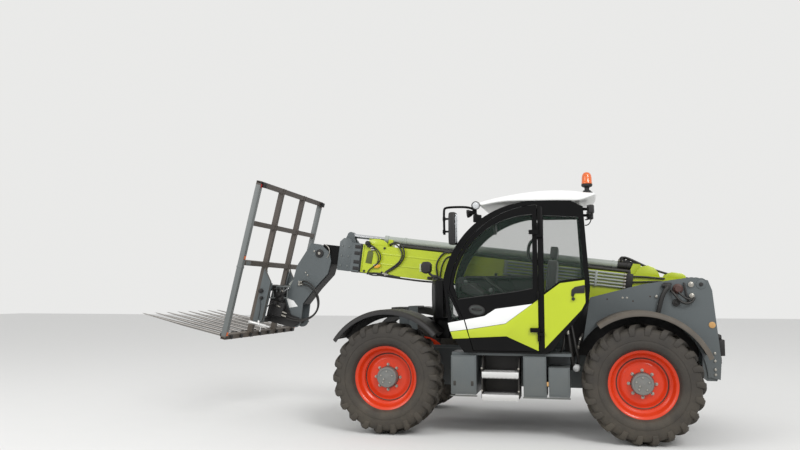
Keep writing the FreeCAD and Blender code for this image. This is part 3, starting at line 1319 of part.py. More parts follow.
def make_boom_mid():
    """Second boom section with its collar, the cylinder's lug and wear pads."""
    item = body("boom_mid", **boom_place)
    boom_section(item, "tube", s.mid_back, s.collar_front, s.mid_width, s.mid_height,
                 s.mid_wall, boom_middle)
    half = s.mid_width / 2
    rise = s.collar_rise
    for name, low, high in (("top", s.mid_height / 2, s.mid_height / 2 + rise),
                            ("bottom", -(s.mid_height / 2 + rise), -(s.mid_height / 2))):
        block(item, f"collar_{name}", (s.collar_back, s.collar_front), (-(half + rise),
              half + rise), (boom_middle + low, boom_middle + high))
    both_sides(item, "collar_side", "side", [(s.collar_back, boom_middle - s.mid_height / 2),
               (s.collar_front, boom_middle - s.mid_height / 2),
               (s.collar_front, boom_middle + s.mid_height / 2),
               (s.collar_back, boom_middle + s.mid_height / 2)], half, half + rise)
    top = boom_middle + s.mid_height / 2 + rise
    gap = s.eye_half + s.eye_play
    ear = [(s.ram_eye - 80, top), (s.ram_eye + 80, top), (s.ram_eye + s.eye_radius, s.ram_up),
           (s.ram_eye - s.eye_radius, s.ram_up)]
    both_sides(item, "ram_ear", "side", ear, gap, gap + s.ear_thick, {2: s.eye_radius})
    inside = s.mid_height / 2 - s.mid_wall
    slide = s.inner_height / 2 + s.pad_play
    for name, low, high in (("top", slide, inside), ("bottom", -inside, -slide)):
        block(item, f"pad_{name}", (s.collar_front - s.pad_long, s.collar_front),
              (-s.pad_wide / 2, s.pad_wide / 2), (boom_middle + low, boom_middle + high))


def make_telescope_rod():
    """Telescope cylinder's rod, with its eye and pin on the second section."""
    item = body("telescope_rod", **boom_place)
    gap = s.eye_half + s.eye_play
    disc(item, "rod", "front", 0, s.ram_up, s.ram_rod_radius, s.ram_back + s.ram_end_wall + 6,
         s.ram_eye)
    disc(item, "eye", "side", s.ram_eye, s.ram_up, s.eye_radius - 4, -s.eye_half, s.eye_half)
    disc(item, "pin", "side", s.ram_eye, s.ram_up, s.eye_pin, -gap, gap)


def make_boom_inner():
    """Third boom section."""
    item = body("boom_inner", **boom_place)
    boom_section(item, "tube", s.inner_back, s.neck_top_along - 30, s.inner_width,
                 s.inner_height, s.inner_wall, boom_middle)


def neck_outline():
    table = s.__dict__
    points = [(table[f"neck_{name}_along"], table[f"neck_{name}_off"])
              for name, _, _ in NECK]
    corners = points[:7]
    corners.append((s.foot_along - s.foot_boss, -s.foot_down))
    corners.append((s.foot_along + s.foot_boss, -s.foot_down))
    return corners + points[7:], {7: s.foot_boss}


def make_boom_head():
    """Boom head: two side plates, belly plate and the tilt cylinder's upper pin."""
    item = body("boom_head", **boom_place)
    inner = s.inner_width / 2
    outer = inner + s.neck_plate
    points, bends = neck_outline()
    both_sides(item, "side_plate", "side", points, inner, outer, bends)
    disc(item, "foot_bore", "side", s.foot_along, -s.foot_down, s.foot_radius + s.pivot_fit,
         -(outer + 1), outer + 1, cut=True)
    belly = [(s.neck_throat_along + 4, boom_middle - s.inner_height / 2 - 12),
             (s.neck_chin_along, s.neck_chin_off),
             (s.neck_belly_along, s.neck_belly_off), (s.neck_wrist_along, s.neck_wrist_off)]
    t = s.neck_plate
    shifted = [(x + t, up + t * 0.4) for x, up in belly]
    slab(item, "belly", "side", belly + list(reversed(shifted)), -inner, inner)
    disc(item, "tilt_pin", "side", s.tilt_pin_along, -s.tilt_pin_down, s.eye_pin, -inner, inner)


lift_head_x, lift_head_up = boom_point(s.lift_head_along, -s.lift_head_down)
lift_run = lift_head_x - s.lift_foot_x
lift_rise = lift_head_up - s.lift_foot_up
lift_length = root(lift_run * lift_run + lift_rise * lift_rise)
lift_place = {"x": s.lift_foot_x, "z": s.lift_foot_up, "pitch": bearing(lift_rise, lift_run)}

tilt_pin_x, tilt_pin_up = boom_point(s.tilt_pin_along, -s.tilt_pin_down)
crowd_x, crowd_up = head_point(s.crowd_along, s.crowd_up)
tilt_run = crowd_x - tilt_pin_x
tilt_rise = crowd_up - tilt_pin_up
tilt_length = root(tilt_run * tilt_run + tilt_rise * tilt_rise)
tilt_place = {"x": tilt_pin_x, "z": tilt_pin_up, "pitch": bearing(tilt_rise, tilt_run)}


def make_cylinder(name, place, length, radius, rod_radius, wall, gland, bottom, half, spare):
    """A hydraulic cylinder's tube, bored to its gland, and its rod with an eye."""
    barrel = body(f"{name}_barrel", **place)
    bore = radius - wall
    rod_bore = rod_radius + s.rod_fit
    end = length - gland
    head = 40
    start = s.eye_radius + s.eye_neck
    outline = [(start, 0), (bottom, 0), (bottom, bore), (end - head, bore),
               (end - head, rod_bore), (end, rod_bore), (end, radius), (start + 10, radius),
               (start, radius - 10)]
    turned(barrel, "tube", "side", outline)
    disc(barrel, "eye", "side", 0, 0, s.eye_radius, -half, half)
    block(barrel, "neck", (0, start), (-half, half),
          (-half, half))
    disc(barrel, "eye_bore", "side", 0, 0, s.eye_pin + s.pivot_fit, -(half + 1),
         half + 1, cut=True)
    rod = body(f"{name}_rod", **place)
    piston = bottom + spare
    tip = length - start
    outline = [(piston, 0), (tip, 0), (tip, rod_radius), (piston + 50, rod_radius),
               (piston + 50, bore - s.pad_play), (piston, bore - s.pad_play)]
    turned(rod, "rod", "side", outline)
    disc(rod, "eye", "side", length, 0, s.eye_radius, -half, half)
    block(rod, "neck", (tip, length), (-half, half), (-half, half))


def make_carriage():
    """Carriage: cheeks on the attachment pivot, cross tubes and the tilt cylinder's ears."""
    place = {"x": foot_x, "z": foot_up, "pitch": s.head_lean}
    item = body("carriage", **place)
    inner = s.inner_width / 2 + s.neck_plate + s.cheek_gap
    outer = inner + s.cheek_thick
    r = s.foot_boss
    front = s.rack_plane - s.hook_reach
    cheek = [(-r, 0), (r * 0.2, -(r * 1.0)), (front, -r), (front, s.crowd_up + 120),
             (front - 70, s.crowd_up + 120), (r * 0.8, r * 0.9), (-(r * 0.6), r * 0.8)]
    both_sides(item, "cheek", "side", cheek, inner, outer)
    disc(item, "foot_pin", "side", 0, 0, s.foot_radius, -outer, outer)
    reach = s.bracket_side
    block(item, "lower_tube", (front - 60, front), (-reach, reach), (-r, -(r - 60)))
    gap = s.tilt_eye + s.eye_play
    along, up = s.crowd_along, s.crowd_up
    ear = [(along - s.eye_radius, up), (along - 30, up - 90), (front, up - 110),
           (front, up + 90), (front - 50, up + 90), (along + 10, up + s.eye_radius)]
    both_sides(item, "ear", "side", ear, gap, gap + s.ear_thick)
    for side, spans in (("left", ((gap, inner), (gap, reach))),
                        ("right", ((-inner, -gap), (-reach, -gap)))):
        block(item, f"ear_back_{side}", (front - 12, front), spans[0], (up - 110, up + 10))
        block(item, f"upper_tube_{side}", (front - 60, front), spans[1], (up + 60, up + 120))
    split_pin(item, "crowd_pin", along, up, gap)


def make_bale_rack():
    """Bale frame: square tubes, with brackets that hang on the carriage."""
    place = {"x": foot_x, "z": foot_up, "pitch": s.head_lean}
    item = body("bale_frame", **place)
    back, front = s.rack_plane, s.rack_plane + s.rack_tube
    half = s.rack_width / 2
    t = s.rack_tube
    for name, y in (("edge", half - t / 2), ("inner", s.rack_bay)):
        both_sides(item, f"upright_{name}", "side", [(back, s.rack_low), (front, s.rack_low),
                   (front, s.rack_high), (back, s.rack_high)], y - t / 2, y + t / 2)
    for name, up in (("top", s.rack_high - t), ("upper", s.rail_upper),
                     ("middle", s.rail_middle), ("bottom", s.rack_low)):
        block(item, f"rail_{name}", (back, front), (-half, half), (up, up + t))
    fore = s.rack_plane - s.hook_reach
    r = s.foot_boss
    bracket = [(fore - 60, -r), (back, -r - 20), (back, s.rail_middle), (back - 20,
                s.rail_middle - 40), (fore - 60, s.crowd_up + 160)]
    side = s.bracket_side
    both_sides(item, "bracket", "side", bracket, side, side + s.bracket_thick)


def make_tines():
    """Bale spikes in the bottom rail, all alike."""
    place = {"x": foot_x, "z": foot_up, "pitch": s.head_lean}
    item = body("bale_tines", **place)
    start = s.rack_plane + s.rack_tube
    middle = s.rack_low + s.rack_tube / 2
    count = int(s.tine_count.value)
    for number in range(count):
        y = s.tine_spread * (number / (count - 1) - 0.5)
        sketch = new_sketch(item, f"tine_{number}_outline", "plan", middle)
        r = s.tine_radius
        draw_outline(sketch, [(start, y), (start + s.tine_length, y),
                              (start + s.tine_length - 40, y + 5),
                              (start + s.tine_length * 0.5, y + r), (start, y + r)])
        tine = item.newObject("PartDesign::Revolution", f"tine_{number}")
        tine.Profile = sketch
        tine.ReferenceAxis = (sketch, ["Edge1"])
        tine.Angle = 360
        doc.recompute()


def build():
    for end in ("front", "rear"):
        make_axle(end)
        make_fenders(end)
        for side in sides:
            make_knuckle(end, side)
            make_hub(end, side)
            make_rim(end, side)
            make_tyre(end, side)
    for make in (make_main_frame, make_rear_frame, make_counterweight, make_tow_hitch,
                 make_rear_lamps, make_engine, make_hood, make_fuel_tank, make_side_boxes,
                 make_step_ladder, make_cab_frame, make_cab_tub, make_side_panel,
                 make_cab_glass, make_cab_roof, make_door, make_door_glass, make_seat,
                 make_steering, make_dash, make_lamps, make_beacon, make_mirror,
                 make_boom_base, make_telescope_barrel, make_boom_mid, make_telescope_rod,
                 make_boom_inner, make_boom_head, make_carriage, make_bale_rack, make_tines):
        make()
    make_cylinder("lift", lift_place, lift_length, s.lift_radius, s.lift_rod_radius,
                  s.lift_wall, s.lift_gland, s.lift_bottom, s.lift_eye, s.lift_spare)
    make_cylinder("tilt", tilt_place, tilt_length, s.tilt_radius, s.tilt_rod_radius,
                  s.tilt_wall, s.tilt_gland, s.tilt_bottom, s.tilt_eye, s.tilt_spare)


def write_files():
    """Check every object, then write each sub-part to its own file."""
    doc.recompute()
    faults = [item.Name for item in doc.Objects
              if any(state in ("Invalid", "Error") for state in item.State)]
    for item in nodes:
        if item.Shape.isNull() or not item.Shape.isValid() or not item.Shape.Solids:
            faults.append(item.Label)
    if faults:
        raise ValueError("these did not build: " + ", ".join(faults))
    os.makedirs("parts", exist_ok=True)
    for item in nodes:
        item.Shape.exportStep(f"parts/{item.Label}.step")


build()
write_files()
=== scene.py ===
"""Telehandler with a bale frame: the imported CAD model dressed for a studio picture.

The machine's own frame has its middle between the axles, on the ground: X forward,
Y to the side of the cab, Z up, in metres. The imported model's origin lies 1.105 m ahead.
"""
import math
import bmesh
import bpy
from mathutils import Matrix, Vector


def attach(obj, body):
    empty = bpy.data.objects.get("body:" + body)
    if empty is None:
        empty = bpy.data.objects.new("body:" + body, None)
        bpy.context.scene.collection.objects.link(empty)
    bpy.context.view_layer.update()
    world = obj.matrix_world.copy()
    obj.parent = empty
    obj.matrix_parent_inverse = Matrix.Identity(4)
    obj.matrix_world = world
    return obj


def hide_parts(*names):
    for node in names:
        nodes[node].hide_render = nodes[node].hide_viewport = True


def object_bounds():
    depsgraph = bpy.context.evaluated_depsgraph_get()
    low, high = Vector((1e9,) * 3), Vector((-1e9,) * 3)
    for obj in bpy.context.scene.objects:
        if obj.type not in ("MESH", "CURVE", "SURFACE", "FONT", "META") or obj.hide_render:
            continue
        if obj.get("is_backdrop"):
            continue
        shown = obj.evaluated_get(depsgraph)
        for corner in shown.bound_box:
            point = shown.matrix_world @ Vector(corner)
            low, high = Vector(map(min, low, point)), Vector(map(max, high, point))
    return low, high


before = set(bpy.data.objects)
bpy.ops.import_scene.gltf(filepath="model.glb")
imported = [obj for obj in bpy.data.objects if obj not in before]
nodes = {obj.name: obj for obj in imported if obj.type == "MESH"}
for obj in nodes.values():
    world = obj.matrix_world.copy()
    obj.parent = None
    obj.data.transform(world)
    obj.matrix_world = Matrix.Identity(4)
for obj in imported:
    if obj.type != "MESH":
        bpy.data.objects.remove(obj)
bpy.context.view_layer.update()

MACHINE = Matrix.Translation((-1.105, 0, 0))
PIVOT = Vector((-2.0, 0, 1.62))
BOOM = MACHINE @ Matrix.Translation(PIVOT) @ Matrix.Rotation(math.radians(-7), 4, "Y")
FOOT = Vector((4.709, 0, -1.032))
HEAD = BOOM @ Matrix.Translation(FOOT) @ Matrix.Rotation(math.radians(-6), 4, "Y")
AXLES = {"front": 1.342, "rear": -1.342}
SIDES = {"left": 1, "right": -1}
AXLE_UP = 0.605
WHEEL_OUT = 0.97


# Camera, floor and light

def look_from(place, azimuth, pitch, lens):
    a, e = math.radians(azimuth), math.radians(pitch)
    along = Vector((-math.sin(a) * math.cos(e), math.cos(a) * math.cos(e), math.sin(e)))
    data = bpy.data.cameras.new("Camera")
    data.lens = lens
    data.sensor_width = 36
    data.clip_end = 200
    camera = bpy.data.objects.new("Camera", data)
    camera.rotation_mode = "QUATERNION"
    camera.rotation_quaternion = along.to_track_quat("-Z", "Y")
    camera.location = place
    bpy.context.scene.collection.objects.link(camera)
    bpy.context.scene.camera = camera


def soft_lamp(name, place, target, size, energy):
    data = bpy.data.lights.new(name, "AREA")
    data.shape = "DISK"
    data.size = size
    data.energy = energy
    lamp = bpy.data.objects.new(name, data)
    lamp.location = place
    lamp.rotation_mode = "QUATERNION"
    lamp.rotation_quaternion = (Vector(target) - Vector(place)).to_track_quat("-Z", "Y")
    bpy.context.scene.collection.objects.link(lamp)


def pale_world(strength, backdrop):
    """Even light, which gloss sees too; the camera and glass see a pale backdrop instead."""
    world = bpy.data.worlds.new("Studio")
    bpy.context.scene.world = world
    world.use_nodes = True
    tree = world.node_tree
    tree.nodes.clear()
    path = node(tree, "LightPath")
    light = node(tree, "Background", {"Color": (1, 1, 1, 1), "Strength": strength})
    seen = node(tree, "Background", {"Color": (*backdrop, 1), "Strength": 1})
    either = sum_of(tree, "MAXIMUM", path.outputs["Is Camera Ray"],
                    path.outputs["Is Transmission Ray"])
    mix = node(tree, "MixShader", {0: either, 1: light.outputs[0], 2: seen.outputs[0]})
    node(tree, "OutputWorld", {"Surface": mix.outputs[0]})


# Surface finishes

def effect_group(name, inputs, outputs):
    """An empty shader group with its named sockets: {name: default} in, {name: kind} out."""
    group = bpy.data.node_groups.new(name, "ShaderNodeTree")
    for title, value in inputs.items():
        kind = "NodeSocketColor" if isinstance(value, tuple) else "NodeSocketFloat"
        socket = group.interface.new_socket(title, in_out="INPUT", socket_type=kind)
        socket.default_value = value
    for title, kind in outputs.items():
        group.interface.new_socket(title, in_out="OUTPUT", socket_type=kind)
    return group, group.nodes.new("NodeGroupInput"), group.nodes.new("NodeGroupOutput")


def node(tree, kind, inputs=None, **settings):
    made = tree.nodes.new("ShaderNode" + kind)
    for key, value in settings.items():
        setattr(made, key, value)
    for key, value in (inputs or {}).items():
        if isinstance(value, bpy.types.NodeSocket):
            tree.links.new(value, made.inputs[key])
        else:
            made.inputs[key].default_value = value
    return made


def sum_of(tree, operation, first, second, clamp=False):
    made = node(tree, "Math", {0: first, 1: second}, operation=operation, use_clamp=clamp)
    return made.outputs[0]


def blend_colours(tree, factor, first, second):
    made = node(tree, "Mix", {0: factor, 6: first, 7: second}, data_type="RGBA")
    return made.outputs[2]


def make_dusty():
    """Field dust: thick near the ground and on upward faces, patchy, and mixed over a colour."""
    group, given, out = effect_group(
        "Field dust",
        {"Colour": (0.5, 0.5, 0.5, 1), "Dust Colour": (0.36, 0.3, 0.21, 1), "Dust": 0.3,
         "Height": 1.2, "Roughness": 0.4},
        {"Colour": "NodeSocketColor", "Roughness": "NodeSocketFloat",
         "Mask": "NodeSocketFloat"})
    place = node(group, "TexCoord").outputs["Object"]
    up = node(group, "SeparateXYZ", {0: place}).outputs["Z"]
    fall = sum_of(group, "DIVIDE", up, given.outputs["Height"])
    low = sum_of(group, "SUBTRACT", 1.0, fall, clamp=True)
    low = sum_of(group, "POWER", low, 1.6)
    patches = node(group, "TexNoise", {"Vector": place, "Scale": 5.0, "Detail": 6.0,
                                       "Roughness": 0.62}).outputs[0]
    specks = node(group, "TexNoise", {"Vector": place, "Scale": 130.0,
                                      "Detail": 2.0}).outputs[0]
    patches = sum_of(group, "MULTIPLY", patches, 1.3)
    specks = sum_of(group, "MULTIPLY", specks, 0.5)
    texture = sum_of(group, "SUBTRACT", sum_of(group, "ADD", patches, specks), 0.35, True)
    facing = node(group, "NewGeometry").outputs["Normal"]
    top = node(group, "SeparateXYZ", {0: facing}).outputs["Z"]
    top = sum_of(group, "MULTIPLY", sum_of(group, "MAXIMUM", top, 0.0), 0.35)
    amount = sum_of(group, "ADD", low, top)
    amount = sum_of(group, "ADD", amount, 0.08)
    mask = sum_of(group, "MULTIPLY", amount, texture)
    mask = sum_of(group, "MULTIPLY", mask, given.outputs["Dust"], clamp=True)
    colour = blend_colours(group, mask, given.outputs["Colour"], given.outputs["Dust Colour"])
    dull = node(group, "MapRange", {0: mask, 3: given.outputs["Roughness"], 4: 0.9}).outputs[0]
    group.links.new(colour, out.inputs["Colour"])
    group.links.new(dull, out.inputs["Roughness"])
    group.links.new(mask, out.inputs["Mask"])
    return group


def make_grain():
    """Fine height for a bump: orange peel in paint, moulded grain in plastic or rubber."""
    group, given, out = effect_group(
        "Surface grain", {"Scale": 300.0, "Waviness": 0.2, "Fine": 1.0},
        {"Height": "NodeSocketFloat", "Variation": "NodeSocketFloat"})
    place = node(group, "TexCoord").outputs["Object"]
    fine = node(group, "TexNoise", {"Vector": place, "Scale": given.outputs["Scale"],
                                    "Detail": 3.0}).outputs[0]
    broad = node(group, "TexNoise", {"Vector": place, "Scale": 3.5, "Detail": 2.0}).outputs[0]
    fine = sum_of(group, "MULTIPLY", fine, given.outputs["Fine"])
    wave = sum_of(group, "MULTIPLY", broad, given.outputs["Waviness"])
    group.links.new(sum_of(group, "ADD", fine, wave), out.inputs["Height"])
    group.links.new(broad, out.inputs["Variation"])
    return group


DUSTY = make_dusty()
GRAIN = make_grain()


def finish(name, colour, roughness, dust=0.3, height=1.2, grain=300.0, depth=0.0004,
           waviness=0.2, metallic=0.0, coat=0.0, shade=0.12, **sockets):
    """A material: its colour drifts a little, dust lies on it, and grain roughens it."""
    material = bpy.data.materials.new(name)
    material.use_nodes = True
    tree = material.node_tree
    shader = tree.nodes["Principled BSDF"]
    relief = node(tree, "Group", {"Scale": grain, "Waviness": waviness}, node_tree=GRAIN)
    dark = tuple(c * (1 - shade) for c in colour)
    drift = blend_colours(tree, relief.outputs["Variation"], (*dark, 1), (*colour, 1))
    dusty = node(tree, "Group", {"Colour": drift, "Dust": dust, "Height": height,
                                 "Roughness": roughness}, node_tree=DUSTY)
    tree.links.new(dusty.outputs["Colour"], shader.inputs["Base Color"])
    tree.links.new(dusty.outputs["Roughness"], shader.inputs["Roughness"])
    bump = node(tree, "Bump", {"Distance": depth, "Height": relief.outputs["Height"]})
    tree.links.new(bump.outputs[0], shader.inputs["Normal"])
    shader.inputs["Metallic"].default_value = metallic
    if coat:
        shader.inputs["Coat Weight"].default_value = coat
        shader.inputs["Coat Roughness"].default_value = 0.12
    for key, value in sockets.items():
        shader.inputs[key.replace("_", " ")].default_value = value
    return material


def clear_finish(name, colour, roughness, alpha):
    """Thin tinted glass or a lens: see-through, with dust film and a sharp gloss."""
    material = bpy.data.materials.new(name)
    material.use_nodes = True
    tree = material.node_tree
    shader = tree.nodes["Principled BSDF"]
    film = node(tree, "Group", {"Colour": (*colour, 1), "Dust": 0.1, "Height": 3.2,
                                "Roughness": roughness}, node_tree=DUSTY)
    tree.links.new(film.outputs["Colour"], shader.inputs["Base Color"])
    tree.links.new(film.outputs["Roughness"], shader.inputs["Roughness"])
    cover = node(tree, "MapRange", {0: film.outputs["Mask"], 3: alpha, 4: 0.75}).outputs[0]
    tree.links.new(cover, shader.inputs["Alpha"])
    shader.inputs["IOR"].default_value = 1.5
    return material


lime = finish("Lime paint", (0.44, 0.53, 0.006), 0.32, dust=0.12, coat=0.3)
grey = finish("Grey paint", (0.083, 0.098, 0.103), 0.42, dust=0.2)
white = finish("White paint", (0.8, 0.81, 0.8), 0.28, dust=0.12, coat=0.4)
cab_black = finish("Black satin paint", (0.0034, 0.0036, 0.004), 0.3, dust=0.04,
                   Specular_IOR_Level=0.11)
bowl_grey = finish("Latch bowl", (0.028, 0.034, 0.032), 0.25, dust=0.1)
plastic = finish("Black moulded plastic", (0.012, 0.012, 0.013), 0.5, dust=0.16, grain=900,
                 depth=0.0008, Specular_IOR_Level=0.35)
brown_lip = finish("Dusty mudguard", (0.042, 0.036, 0.032), 0.6, dust=0.38, height=2.4)
orange = finish("Orange wheel paint", (0.64, 0.036, 0.004), 0.3, dust=0.07, coat=0.22,
                Specular_IOR_Level=0.3)
# Painted shade: a dark colour standing for the shade inside grooves and holes.
groove = finish("Shadowed groove", (0.03, 0.014, 0.01), 0.7, dust=0.3)
rubber = finish("Tyre rubber", (0.022, 0.02, 0.019), 0.72, dust=0.2, height=1.9,
                grain=420, depth=0.0012, shade=0.3, Specular_IOR_Level=0.4)
hose_rubber = finish("Hose rubber", (0.01, 0.01, 0.01), 0.5, dust=0.2, grain=700)
hub_grey = finish("Hub casting", (0.13, 0.138, 0.138), 0.5, dust=0.4, grain=240,
                  depth=0.001)
cast_black = finish("Black casting", (0.012, 0.012, 0.013), 0.55, dust=0.18, grain=200,
                    depth=0.001, Specular_IOR_Level=0.4)
zinc = finish("Zinc plated fittings", (0.38, 0.365, 0.33), 0.38, dust=0.3, metallic=1.0)
aluminium = finish("Step aluminium", (0.7, 0.7, 0.69), 0.42, dust=0.2, metallic=0.8)
ram_grey = finish("Cylinder paint", (0.33, 0.36, 0.33), 0.35, dust=0.2, coat=0.2)
chrome = finish("Rod chrome", (0.62, 0.63, 0.64), 0.12, dust=0.08, metallic=1.0)
spike = finish("Worn spike steel", (0.24, 0.23, 0.22), 0.38, dust=0.3, metallic=1.0)
cloth = finish("Woven cloth", (0.04, 0.042, 0.046), 0.85, dust=0.25, height=3, grain=1400,
               depth=0.0016, Sheen_Weight=0.3)
rack_brown = finish("Weathered frame paint", (0.058, 0.047, 0.041), 0.55, dust=0.3,
                    height=3.4)
edge_grey = finish("Frame edge paint", (0.125, 0.138, 0.138), 0.45, dust=0.3)
lens_brown = finish("Brown cap", (0.06, 0.024, 0.02), 0.45, dust=0.2)
# Lime darkened with painted shade, for the plate on the boom's side.
lime_painted_shade = finish("Shaded lime", (0.085, 0.105, 0.012), 0.55, dust=0.1)
tag_yellow = finish("Tag yellow", (0.7, 0.33, 0.01), 0.45, dust=0.1)
engine_metal = finish("Engine casting", (0.075, 0.078, 0.08), 0.55, dust=0.5, grain=160,
                      depth=0.0015)
glass = clear_finish("Tinted glass", (0.02, 0.045, 0.033), 0.04, 0.13)
lens = clear_finish("Clear lens", (0.7, 0.72, 0.74), 0.08, 0.55)
mirror_glass = finish("Mirror glass", (0.7, 0.73, 0.75), 0.05, dust=0.15, metallic=1.0)
red_lens = finish("Red lens", (0.42, 0.01, 0.008), 0.18, dust=0.2, coat=0.5)
amber = finish("Amber lens", (0.64, 0.115, 0.006), 0.16, dust=0.12, coat=0.6,
               Subsurface_Weight=0.1)
pale_amber = finish("Sun-bleached reflector", (0.52, 0.29, 0.1), 0.35, dust=0.3)


# Mesh tools

def bridge(part, rings):
    """Joins rings of vertices, each to the next, and closes both ends."""
    count = len(rings[0])
    for first, second in zip(rings, rings[1:]):
        for i in range(count):
            j = (i + 1) % count
            part.faces.new((first[i], first[j], second[j], second[i]))
    part.faces.new(rings[0])
    part.faces.new(rings[-1][::-1])


def near(value, half):
    """The span from half below a value to half above it."""
    return (value - half, value + half)


def circle(centre, across, up, step=15):
    """Points on an oval, a point every so many degrees."""
    turns = [math.radians(a) for a in range(0, 360, step)]
    return [(centre[0] + across * math.cos(a), centre[1] + up * math.sin(a)) for a in turns]


HEX = {"sides": 6, "soften": 0.002}


class Piece:
    """One visible piece being made: a mesh built up in the machine's frame."""

    def __init__(self, name, paint, body="chassis", place=MACHINE):
        self.name, self.body, self.paint, self.place = name, body, paint, place
        self.mesh = bmesh.new()

    def add(self, part, soften=0.0, steps=2, sharp=30):
        """Softens the part's sharp edges and adds it to the piece."""
        bmesh.ops.remove_doubles(part, verts=part.verts, dist=1e-6)
        bmesh.ops.recalc_face_normals(part, faces=part.faces)
        if soften:
            limit = math.radians(sharp)
            edges = [e for e in part.edges
                     if len(e.link_faces) == 2 and e.calc_face_angle(0) > limit]
            bmesh.ops.bevel(part, geom=edges, offset=soften, segments=steps, profile=0.5,
                            affect="EDGES", clamp_overlap=True)
        bmesh.ops.transform(part, matrix=self.place, verts=part.verts)
        scratch = bpy.data.meshes.new("scratch")
        part.to_mesh(scratch)
        part.free()
        self.mesh.from_mesh(scratch)
        bpy.data.meshes.remove(scratch)
        return self

    def prism(self, outline, low, high, plane="xz", soften=0.0, steps=2):
        """A flat outline between two levels: xz runs along y, xy along z, yz along x."""
        part = bmesh.new()
        sides = []
        for level in (low, high):
            points = {"xz": [(a, level, b) for a, b in outline],
                      "xy": [(a, b, level) for a, b in outline],
                      "yz": [(level, a, b) for a, b in outline]}[plane]
            sides.append([part.verts.new(point) for point in points])
        bridge(part, sides)
        return self.add(part, soften, steps)

    def block(self, x, y, z, soften=0.004, steps=2):
        """A box between two values of each axis."""
        outline = [(x[0], z[0]), (x[1], z[0]), (x[1], z[1]), (x[0], z[1])]
        return self.prism(outline, y[0], y[1], "xz", soften, steps)

    def panel(self, spans, low, high, soften=0.004, steps=2):
        """A box over spans of x and z, between two levels of y."""
        return self.block(spans[0], (low, high), spans[1], soften, steps)

    def both(self, method, *given, **more):
        """The same part on both sides: its two levels, second and third given, are mirrored."""
        outline, low, high, *rest = given
        for sign in (1, -1):
            getattr(self, method)(outline, sign * low, sign * high, *rest, **more)
        return self

    def lathe(self, profile, centre=(0, 0, 0), axis="y", steps=48, closed=False, start=0,
              sweep=360, soften=0.0):
        """Turns (along the axis, radius) points about an axis through the centre."""
        part = bmesh.new()
        whole = abs(sweep - 360) < 1e-6
        count = steps if whole else steps + 1
        rings = []
        for i in range(count):
            a = math.radians(start + sweep * i / steps)
            c, s = math.cos(a), math.sin(a)
            ring = []
            for along, radius in profile:
                local = {"y": (radius * c, along, radius * s),
                         "x": (along, radius * c, radius * s),
                         "z": (radius * c, radius * s, along)}[axis]
                ring.append(part.verts.new(Vector(local) + Vector(centre)))
            rings.append(ring)
        pairs = len(profile) if closed else len(profile) - 1
        for i in range(steps):
            first, second = rings[i], rings[(i + 1) % count]
            for k in range(pairs):
                m = (k + 1) % len(profile)
                part.faces.new((first[k], first[m], second[m], second[k]))
        if not whole and closed:
            part.faces.new(rings[0])
            part.faces.new(list(reversed(rings[-1])))
        bmesh.ops.remove_doubles(part, verts=part.verts, dist=1e-6)
        bmesh.ops.dissolve_degenerate(part, edges=part.edges, dist=1e-7)
        return self.add(part, soften)

    def rod(self, first, second, radius, steps=16, soften=0.0, sides=None):
        """A round bar, or one with a few flat sides, between two points."""
        a, b = Vector(first), Vector(second)
        turn = (b - a).to_track_quat("Z", "Y").to_matrix().to_4x4()
        part = bmesh.new()
        bmesh.ops.create_cone(part, cap_ends=True, cap_tris=False, segments=sides or steps,
                              radius1=radius, radius2=radius, depth=(b - a).length,
                              matrix=Matrix.Translation((a + b) / 2) @ turn)
        return self.add(part, soften)

    def pin(self, spot, low, high, radius, steps=16, soften=0.0, sides=None):
        """A rod across the machine: at (x, z), between two levels of y."""
        x, z = spot
        return self.rod((x, low, z), (x, high, z), radius, steps, soften, sides)

    def pipe(self, points, radius, resolution=6, around=4, tight=False):
        """A bent round tube whose centre line is a smooth curve by the points."""
        curve = bpy.data.curves.new("scratch", "CURVE")
        curve.dimensions = "3D"
        curve.bevel_depth = radius
        curve.bevel_resolution = around
        curve.use_fill_caps = True
        line = curve.splines.new("POLY" if tight else "NURBS")
        line.points.add(len(points) - 1)
        for point, place in zip(line.points, points):
            point.co = (*place, 1)
        if not tight:
            line.order_u = min(4, len(points))
            line.use_endpoint_u = True
            line.resolution_u = resolution
        holder = bpy.data.objects.new("scratch", curve)
        bpy.context.scene.collection.objects.link(holder)
        bpy.context.view_layer.update()
        graph = bpy.context.evaluated_depsgraph_get()
        mesh = bpy.data.meshes.new_from_object(holder.evaluated_get(graph))
        part = bmesh.new()
        part.from_mesh(mesh)
        bpy.data.objects.remove(holder)
        bpy.data.curves.remove(curve)
        bpy.data.meshes.remove(mesh)
        return self.add(part)

    def done(self, smooth=35, rounded=0, replaces=()):
        """Makes the object, shades it, and lets it ride on its body."""
        limit = math.radians(smooth)
        for face in self.mesh.faces:
            face.smooth = True
        for edge in self.mesh.edges:
            if len(edge.link_faces) == 2:
                edge.smooth = edge.calc_face_angle(0) < limit
        data = bpy.data.meshes.new(self.name)
        self.mesh.to_mesh(data)
        self.mesh.free()
        data.materials.append(self.paint)
        made = bpy.data.objects.new(self.name, data)
        bpy.context.scene.collection.objects.link(made)
        if rounded:
            rounding = made.modifiers.new("Rounding", "SUBSURF")
            rounding.levels = rounding.render_levels = rounded
        if self.body:
            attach(made, self.body)
        if replaces:
            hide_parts(*replaces)
        return made


